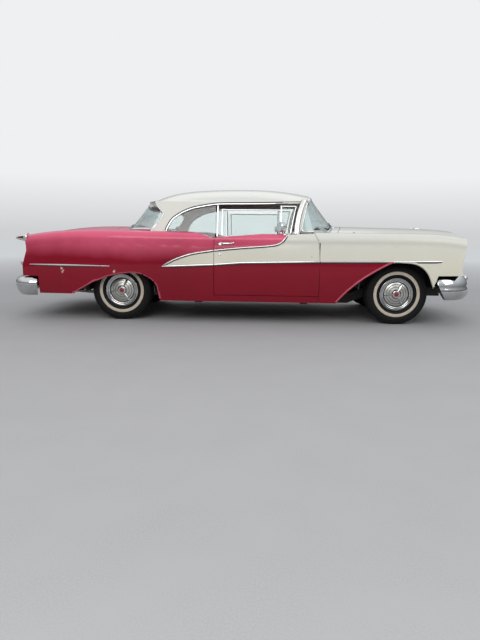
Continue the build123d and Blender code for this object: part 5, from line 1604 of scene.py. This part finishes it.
def make_steering_wheel():
    """Rim with finger ridges, two spokes, a horn ring and a boss."""
    joint = next(j for j in frame["record"]["behaviour"]["joints"] if j["name"] == "steering_wheel_turn")
    along = Vector(joint["axis"]).normalized()
    if along.x > 0:
        along = -along
    centre = Vector((0.405, 0.370, 0.885))
    across = Vector((0, 1, 0))
    upward = along.cross(across)
    place = Matrix((across, upward, along)).transposed().to_4x4()
    place.translation = centre
    bm = bmesh.new()
    places, sizes = [], []
    for index in range(144):
        angle = 2 * math.pi * index / 144
        spot = Matrix.Rotation(angle, 4, "Z") @ Matrix.Translation((0.215, 0, 0)) @ Matrix.Rotation(
            -math.pi / 2, 4, "X")
        places.append(place @ spot)
        sizes.append(1.0 + 0.045 * math.cos(36 * angle))
    sweep(bm, places, round_bar(0.0102, 14), sizes, True)
    for side in (1, -1):
        rows = [Vector((side * 0.026, 0.0, -0.008)), Vector((side * 0.10, -0.004, -0.008)),
                Vector((side * 0.17, -0.006, -0.003)), Vector((side * 0.212, -0.006, 0.0))]
        points = [place @ row for row in smooth_line(rows, 5)]
        sweep(bm, path_places(points, [along] * len(points)),
              [(o * 0.5, a) for o, a in round_bar(0.013, 12)], taper(len(points), 0, 0.4, (1, 0.75)))
    rim = place_piece(bm, "steering wheel rim", ["ivory plastic"], "steering_wheel_body",
                      50)
    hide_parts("steering_wheel")
    turn = place @ Matrix(((0, 0, 1, 0), (0, 1, 0, 0), (1, 0, 0, 0), (0, 0, 0, 1)))
    turned_piece("steering wheel boss",
                 [(-0.230, 0.0), (-0.230, 0.0115), (-0.060, 0.0115), (-0.055, 0.024), (-0.034, 0.034),
                  (-0.004, 0.036), (0.002, 0.033), (0.003, 0.0)],
                 turn, "ivory plastic", "steering_wheel_body", 40, 35)
    turned_piece("horn button",
                 [(-0.004, 0.0), (-0.004, 0.0300), (0.006, 0.0295), (0.0095, 0.0260), (0.0080, 0.0235),
                  (0.0115, 0.0120), (0.0125, 0.0)],
                 turn, "chrome", "steering_wheel_body", 40, 35)
    bm = bmesh.new()
    points = [place @ Vector((0.115 * math.cos(a), 0.115 * math.sin(a), 0.004)) for a in spread(165, 375, 36)]
    sweep(bm, path_places(points, [along] * len(points)), round_bar(0.0038, 8))
    for angle in (170, 370):
        a = math.radians(angle)
        ends = [place @ Vector((r * math.cos(a), r * math.sin(a), 0.003)) for r in (0.028, 0.070, 0.115)]
        sweep(bm, path_places(ends, [along] * 3), [(o * 0.5, w) for o, w in round_bar(0.007, 8)])
    place_piece(bm, "horn ring", ["chrome"], "steering_wheel_body", 60)


def make_dash_fittings():
    """Dials, radio, glovebox, knobs, mirror and pedals."""
    tree = surface_of(["dashboard"])

    def on_dash(y, z, lift=0.0):
        hit, normal, _, _ = tree.ray_cast(Vector((0.3, y, z)), Vector((1, 0, 0)))
        if normal.x > 0:
            normal = -normal
        return hit + normal * lift, normal

    for label, y, z, radius in (("speed", 0.370, 0.897, 0.052), ("fuel", 0.475, 0.897, 0.034),
                                ("heat", 0.265, 0.897, 0.034), ("clock", -0.240, 0.897, 0.034)):
        spot, normal = on_dash(y, z)
        place = turned_to(spot, normal)
        turned_piece(f"{label} bezel",
                     [(-0.004, radius + 0.006), (0.006, radius + 0.0055), (0.010, radius + 0.001),
                      (0.008, radius - 0.003), (0.002, radius - 0.004), (-0.004, radius - 0.004),
                      (-0.004, radius + 0.006)],
                     place, "chrome", "root", 44, 40)
        turned_piece(f"{label} face",
                     [(-0.003, 0.0), (-0.003, radius - 0.003), (0.0012, radius - 0.003), (0.0012, 0.0)],
                     place, "dial face", "root", 44, 40)
        bm = bmesh.new()
        count = 11 if label != "clock" else 12
        for index in range(count):
            angle = math.radians(-130
                                 + 260 * index / (count - 1)) if label != "clock" else index * math.pi / 6
            turn = Matrix.Rotation(angle, 4, "X")
            put_box(bm, turn @ Vector((0.0018, 0, radius * 0.82)), (0.0008, 0.0016, radius * 0.16), 0.0, turn)
        turn = Matrix.Rotation(math.radians(-118), 4, "X")
        put_box(bm, turn @ Vector((0.0026, 0, radius * 0.33)), (0.0008, 0.0022, radius * 0.78), 0.0, turn)
        bmesh.ops.transform(bm, matrix=place, verts=bm.verts)
        place_piece(bm, f"{label} marks", ["ivory plastic"], "root", 40)
    spot, normal = on_dash(0.0, 0.895, 0.002)
    lean = normal.to_track_quat("X", "Z").to_matrix().to_4x4()
    bm = bmesh.new()
    put_box(bm, (0, 0, 0), (0.010, 0.190, 0.058), 0.003)
    bmesh.ops.transform(bm, matrix=Matrix.Translation(spot) @ lean, verts=bm.verts)
    place_piece(bm, "radio face", ["chrome"], "root", 40)
    bm = bmesh.new()
    for index in range(9):
        put_box(bm, (0.006, 0, -0.020 + index * 0.005), (0.004, 0.120, 0.0022), 0.0006)
    bmesh.ops.transform(bm, matrix=Matrix.Translation(spot) @ lean, verts=bm.verts)
    place_piece(bm, "radio bars", ["dial face"], "root", 40)
    knobs = [(0.078, 0.895), (-0.078, 0.895), (0.20, 0.850), (0.16, 0.850), (0.56, 0.885), (0.60, 0.850)]
    for index, (y, z) in enumerate(knobs):
        spot, normal = on_dash(y, z)
        place = turned_to(spot, normal)
        turned_piece(f"dash knob {index + 1}",
                     [(-0.002, 0.0), (-0.002, 0.005), (0.012, 0.005), (0.014, 0.011), (0.024, 0.012),
                      (0.028, 0.009), (0.029, 0.0)],
                     place, "ivory plastic", "root", 24, 40)
    line = []
    for y, z in ((-0.330, 0.925), (-0.620, 0.925), (-0.620, 0.866), (-0.330, 0.866), (-0.330, 0.925)):
        line.append(on_dash(y, z, 0.001)[0])
    points = [line[i] + (line[i + 1] - line[i]) * k / 8 for i in range(4) for k in range(8)] + [line[0]]
    free_strip("glovebox edge", points, [Vector((-1, 0, 0))] * len(points), round_bar(0.0024, 6), "root",
               "stainless")
    bm = bmesh.new()
    put_box(bm, (0.628, 0, 1.322), (0.020, 0.200, 0.056), 0.008)
    for face in bm.faces:
        if face.normal.x < -0.9:
            face.material_index = 1
    place_piece(bm, "inside mirror", ["stainless", "mirror glass"], "root", 40)
    bent_bar("inside mirror stem", smooth_line([Vector((0.636, 0, 1.335)), Vector((0.655, 0, 1.370)),
             Vector((0.690, 0, 1.412))], 4), 0.005, "chrome", "root", up=(1, 0, 0.1))
    make_pedals()


# The photograph's lens in millimetres, and its yaw, pitch and roll in degrees
CAMERA_LENS = 28.125
CAMERA_TURN = (2.76, 9.88, 0.61)


PEDAL_LEAN = math.radians(-28)


def make_pedals():
    """Brake, clutch and accelerator pedals."""
    floor = surface_of(["floor_pan", "cowl"])
    for name, y, z, size in (("brake pedal", 0.330, 0.520, (0.012, 0.085, 0.055)),
                             ("clutch pedal", 0.450, 0.520, (0.012, 0.065, 0.055)),
                             ("accelerator", 0.215, 0.455, (0.012, 0.055, 0.150))):
        hit = floor.ray_cast(Vector((0.5, y, z)), Vector((1, 0, 0)))[0]
        reach = 0.050 if name != "accelerator" else 0.025
        bm = bmesh.new()
        put_box(bm, (0, 0, 0), size, 0.004)
        for index in range(5):
            put_box(bm, (-0.007, 0, (index - 2) * size[2] * 0.17), (0.004, size[1] * 0.86, size[2] * 0.07),
                    0.001)
        spot = hit - Vector((reach, 0, 0))
        bmesh.ops.transform(bm, matrix=Matrix.Translation(spot) @ Matrix.Rotation(PEDAL_LEAN, 4, "Y"),
                            verts=bm.verts)
        place_piece(bm, name, ["seal rubber"], "root", 40)
        foot = hit + Vector((0.006, 0, -0.02))
        bent_bar(name + " arm",
                 smooth_line([spot + Vector((0.004, 0, -0.01)), (spot + foot) / 2 - Vector((0, 0, 0.02)),
                 foot], 4), 0.008, "black paint", "root", up=(0, 1, 0))


# Stage

def make_stage(settings):
    """Pale floor and backdrop, soft lamps and the camera."""
    bm = bmesh.new()
    bmesh.ops.create_grid(bm, x_segments=1, y_segments=1, size=60.0)
    mesh = bpy.data.meshes.new("studio floor")
    bm.to_mesh(mesh)
    bm.free()
    floor = bpy.data.objects.new("studio floor", mesh)
    bpy.context.scene.collection.objects.link(floor)
    material, tree, shader, place = start_material("Studio floor", Roughness=0.75)
    tone = ramp(tree, noise(tree, place, 3.0, 5.0), 0.3, 0.7, 0.0, 1.0)
    grit = ramp(tree, noise(tree, place, 160.0, 2.0), 0.3, 0.7)
    speck = mix_colour(tree, grit, (0.33, 0.325, 0.33, 1), (0.40, 0.395, 0.40, 1))
    near = mix_colour(tree, tone, speck, (0.38, 0.375, 0.38, 1))
    away = add(tree, "ShaderNodeVectorMath", {0: place, 1: (0, 0, 0)}, operation="DISTANCE").outputs["Value"]
    tree.links.new(mix_colour(tree, ramp(tree, away, 5.0, 16.0), near, (0.80, 0.80, 0.80, 1)),
                   shader.inputs["Base Color"])
    mesh.materials.append(material)

    world = bpy.data.worlds.new("Studio world")
    bpy.context.scene.world = world
    world.use_nodes = True
    tree = world.node_tree
    background = tree.nodes["Background"]
    direction = tree.nodes.new("ShaderNodeTexCoord").outputs["Generated"]
    rise = add(tree, "ShaderNodeSeparateXYZ", {0: direction}).outputs["Z"]
    low = mix_colour(tree, ramp(tree, rise, 0.0, 0.20), (0.12, 0.115, 0.11, 1), (0.34, 0.35, 0.36, 1))
    sky = mix_colour(tree, ramp(tree, rise, 0.20, 0.60), low, (0.86, 0.89, 0.92, 1))
    path = tree.nodes.new("ShaderNodeLightPath").outputs
    plain = mix_colour(tree, ramp(tree, rise, 0.0, 0.10), (0.62, 0.63, 0.64, 1), (0.86, 0.87, 0.88, 1))
    seen = mix_colour(tree, path["Is Camera Ray"], sky, plain)
    seen = mix_colour(tree, path["Is Transmission Ray"], seen, (0.80, 0.82, 0.84, 1))
    tree.links.new(seen, background.inputs["Color"])
    background.inputs["Strength"].default_value = 1.0

    lamps = (("key", (-1.5, -8.5, 5.0), (6.0, 4.0), settings.key_power, (1.0, 0.98, 0.95)),
             ("fill", (5.5, -5.5, 5.0), (4.0, 4.0), settings.fill_power, (0.95, 0.98, 1.0)),
             ("back", (0.0, 6.5, 6.0), (7.0, 3.0), settings.back_power, (1.0, 1.0, 1.0)))
    for name, spot, size, power, colour in lamps:
        lamp = bpy.data.lights.new(name + " softbox", "AREA")
        lamp.shape = "RECTANGLE"
        lamp.size, lamp.size_y = size
        lamp.energy, lamp.color = power, colour
        holder = bpy.data.objects.new(name + " softbox", lamp)
        holder.location = spot
        holder.rotation_mode = "QUATERNION"
        holder.rotation_quaternion = (Vector((0, 0, 0.6)) - Vector(spot)).to_track_quat("-Z", "Y")
        bpy.context.scene.collection.objects.link(holder)

    camera = bpy.data.cameras.new("view from the car's right")
    camera.lens = CAMERA_LENS
    camera.sensor_width = 36.0
    camera.clip_end = 300.0
    holder = bpy.data.objects.new("view from the car's right", camera)
    bpy.context.scene.collection.objects.link(holder)
    yaw, pitch, roll = (math.radians(angle) for angle in CAMERA_TURN)
    forward = Vector((-math.sin(yaw) * math.cos(pitch), math.cos(yaw) * math.cos(pitch), -math.sin(pitch)))
    level = Vector((math.cos(yaw), math.sin(yaw), 0))
    upright = level.cross(forward)
    right = math.cos(roll) * level + math.sin(roll) * upright
    upward = math.cos(roll) * upright - math.sin(roll) * level
    matrix = Matrix((right, upward, -forward)).transposed().to_4x4()
    matrix.translation = Vector((0.2525, -6.442, 0.998))
    holder.matrix_world = matrix
    bpy.context.scene.camera = holder
    bpy.context.scene.view_settings.view_transform = "Standard"


# Settings

class SaloonColours(bpy.types.PropertyGroup):
    red: bpy.props.FloatVectorProperty(
        name="Lower colour", description="Raspberry paint of the lower body", subtype="COLOR", size=3,
        min=0.0, max=1.0, default=(0.235, 0.0030, 0.0165))
    # The faded lower colour is far lighter than the paint: painted top light as well as sun fade.
    sunlit_faded_red: bpy.props.FloatVectorProperty(
        name="Sunlit faded lower colour", description="Raspberry paint high on the body, with painted top light and sun fade",
        subtype="COLOR", size=3, min=0.0, max=1.0, default=(0.700, 0.105, 0.195))
    faded_cream: bpy.props.FloatVectorProperty(
        name="Faded upper colour", description="Cream paint where the sun has bleached it", subtype="COLOR",
        size=3, min=0.0, max=1.0, default=(0.650, 0.645, 0.590))
    cream: bpy.props.FloatVectorProperty(
        name="Upper colour", description="Cream paint of the roof, hood and spear", subtype="COLOR", size=3,
        min=0.0, max=1.0, default=(0.720, 0.700, 0.585))
    chrome: bpy.props.FloatVectorProperty(
        name="Plating", description="Colour of the plated pieces", subtype="COLOR", size=3,
        min=0.0, max=1.0, default=(0.78, 0.79, 0.80))
    whitewall: bpy.props.FloatVectorProperty(
        name="Whitewall", description="Aged white band of the tyres", subtype="COLOR", size=3,
        min=0.0, max=1.0, default=(0.52, 0.445, 0.37))


class SaloonSizes(bpy.types.PropertyGroup):
    strip_width: bpy.props.FloatProperty(
        name="Strip width", description="Width of the chrome side strips", subtype="DISTANCE", unit="LENGTH",
        min=0.005, max=0.06, default=0.024)


class SaloonStage(bpy.types.PropertyGroup):
    key_power: bpy.props.FloatProperty(
        name="Key power", description="Power of the main softbox", subtype="POWER", unit="POWER",
        min=0.0, default=265.0)
    fill_power: bpy.props.FloatProperty(
        name="Fill power", description="Power of the softbox in front", subtype="POWER", unit="POWER",
        min=0.0, default=110.0)
    back_power: bpy.props.FloatProperty(
        name="Back power", description="Power of the softbox behind", subtype="POWER", unit="POWER",
        min=0.0, default=40.0)


# Operators

class SALOON_OT_finishes(bpy.types.Operator):
    """Make every paint, metal, glass, rubber and cloth finish"""
    bl_idname = "saloon.finishes"
    bl_label = "Make finishes"

    def execute(self, context):
        make_all_finishes(context.scene.saloon_colours)
        return {"FINISHED"}


class SALOON_OT_panels(bpy.types.Operator):
    """Dress the painted panels"""
    bl_idname = "saloon.panels"
    bl_label = "Painted panels"

    def execute(self, context):
        carry_over_panels()
        return {"FINISHED"}


class SALOON_OT_plain_pieces(bpy.types.Operator):
    """Dress the bumpers, grille and running gear"""
    bl_idname = "saloon.plain_pieces"
    bl_label = "Bumpers and running gear"

    def execute(self, context):
        carry_over_plain_pieces()
        return {"FINISHED"}


class SALOON_OT_glass(bpy.types.Operator):
    """Dress the windows"""
    bl_idname = "saloon.glass"
    bl_label = "Windows"

    def execute(self, context):
        carry_over_glass()
        return {"FINISHED"}


class SALOON_OT_side_trim(bpy.types.Operator):
    """Add the chrome strips on the sides"""
    bl_idname = "saloon.side_trim"
    bl_label = "Side trim"

    def execute(self, context):
        make_side_trim(context.scene.saloon_sizes)
        make_gap_fillers()
        return {"FINISHED"}


class SALOON_OT_wheels(bpy.types.Operator):
    """Add the tyres, wheels and covers"""
    bl_idname = "saloon.wheels"
    bl_label = "Wheels"

    def execute(self, context):
        make_wheels()
        return {"FINISHED"}


class SALOON_OT_lamps(bpy.types.Operator):
    """Add the lamps"""
    bl_idname = "saloon.lamps"
    bl_label = "Lamps"

    def execute(self, context):
        make_lamps()
        return {"FINISHED"}


class SALOON_OT_screen_trim(bpy.types.Operator):
    """Frame the windshield, the rear window and the front pillars"""
    bl_idname = "saloon.screen_trim"
    bl_label = "Windshield and rear window frames"

    def execute(self, context):
        make_screen_trim()
        return {"FINISHED"}


class SALOON_OT_side_window_trim(bpy.types.Operator):
    """Frame the door, vent and quarter windows"""
    bl_idname = "saloon.side_window_trim"
    bl_label = "Side window frames"

    def execute(self, context):
        make_side_window_trim()
        return {"FINISHED"}


class SALOON_OT_arch_lips(bpy.types.Operator):
    """Add the rolled lips of the wheel openings"""
    bl_idname = "saloon.arch_lips"
    bl_label = "Arch lips"

    def execute(self, context):
        make_arch_lips()
        return {"FINISHED"}


class SALOON_OT_linings(bpy.types.Operator):
    """Line the roof, the floor, the doors and the rear sides"""
    bl_idname = "saloon.linings"
    bl_label = "Cabin linings"

    def execute(self, context):
        make_linings()
        return {"FINISHED"}


class SALOON_OT_benches(bpy.types.Operator):
    """Make the padded benches"""
    bl_idname = "saloon.benches"
    bl_label = "Benches"

    def execute(self, context):
        make_benches()
        return {"FINISHED"}


class SALOON_OT_controls(bpy.types.Operator):
    """Make the steering wheel, dials, knobs and pedals"""
    bl_idname = "saloon.controls"
    bl_label = "Steering wheel and controls"

    def execute(self, context):
        make_steering_wheel()
        make_dash_fittings()
        return {"FINISHED"}


class SALOON_OT_fittings(bpy.types.Operator):
    """Add the door handles, locks, mirrors, wipers, ornament and plate"""
    bl_idname = "saloon.fittings"
    bl_label = "Small fittings"

    def execute(self, context):
        make_door_handles()
        make_mirrors()
        make_wipers()
        make_hood_and_deck_fittings()
        return {"FINISHED"}


class SALOON_OT_stage(bpy.types.Operator):
    """Set the floor, backdrop, lamps and camera"""
    bl_idname = "saloon.stage"
    bl_label = "Stage"

    def execute(self, context):
        make_stage(context.scene.saloon_stage)
        return {"FINISHED"}


OPERATORS = (SALOON_OT_finishes, SALOON_OT_panels, SALOON_OT_plain_pieces, SALOON_OT_glass,
             SALOON_OT_side_trim,
             SALOON_OT_screen_trim, SALOON_OT_side_window_trim, SALOON_OT_arch_lips, SALOON_OT_wheels,
             SALOON_OT_lamps, SALOON_OT_fittings, SALOON_OT_linings, SALOON_OT_benches, SALOON_OT_controls,
             SALOON_OT_stage)


class SALOON_PT_sidebar(bpy.types.Panel):
    bl_label = "Two-tone hardtop saloon"
    bl_space_type = "VIEW_3D"
    bl_region_type = "UI"
    bl_category = "Saloon"

    def draw(self, context):
        for group in (context.scene.saloon_colours, context.scene.saloon_sizes, context.scene.saloon_stage):
            box = self.layout.box()
            for name in group.__annotations__:
                box.prop(group, name)
        for operator in OPERATORS:
            self.layout.operator(operator.bl_idname)


CLASSES = (SaloonColours, SaloonSizes, SaloonStage, *OPERATORS, SALOON_PT_sidebar)


def register():
    for cls in CLASSES:
        bpy.utils.register_class(cls)
    bpy.types.Scene.saloon_colours = bpy.props.PointerProperty(type=SaloonColours)
    bpy.types.Scene.saloon_sizes = bpy.props.PointerProperty(type=SaloonSizes)
    bpy.types.Scene.saloon_stage = bpy.props.PointerProperty(type=SaloonStage)


def unregister():
    del bpy.types.Scene.saloon_stage
    del bpy.types.Scene.saloon_sizes
    del bpy.types.Scene.saloon_colours
    for cls in reversed(CLASSES):
        bpy.utils.unregister_class(cls)


def main():
    register()
    bpy.ops.saloon.finishes()
    bpy.ops.saloon.panels()
    bpy.ops.saloon.plain_pieces()
    bpy.ops.saloon.glass()
    bpy.ops.saloon.side_trim()
    bpy.ops.saloon.screen_trim()
    bpy.ops.saloon.side_window_trim()
    bpy.ops.saloon.arch_lips()
    bpy.ops.saloon.wheels()
    bpy.ops.saloon.lamps()
    bpy.ops.saloon.fittings()
    bpy.ops.saloon.linings()
    bpy.ops.saloon.benches()
    bpy.ops.saloon.controls()
    bpy.ops.saloon.stage()


if __name__ == "__main__":
    main()
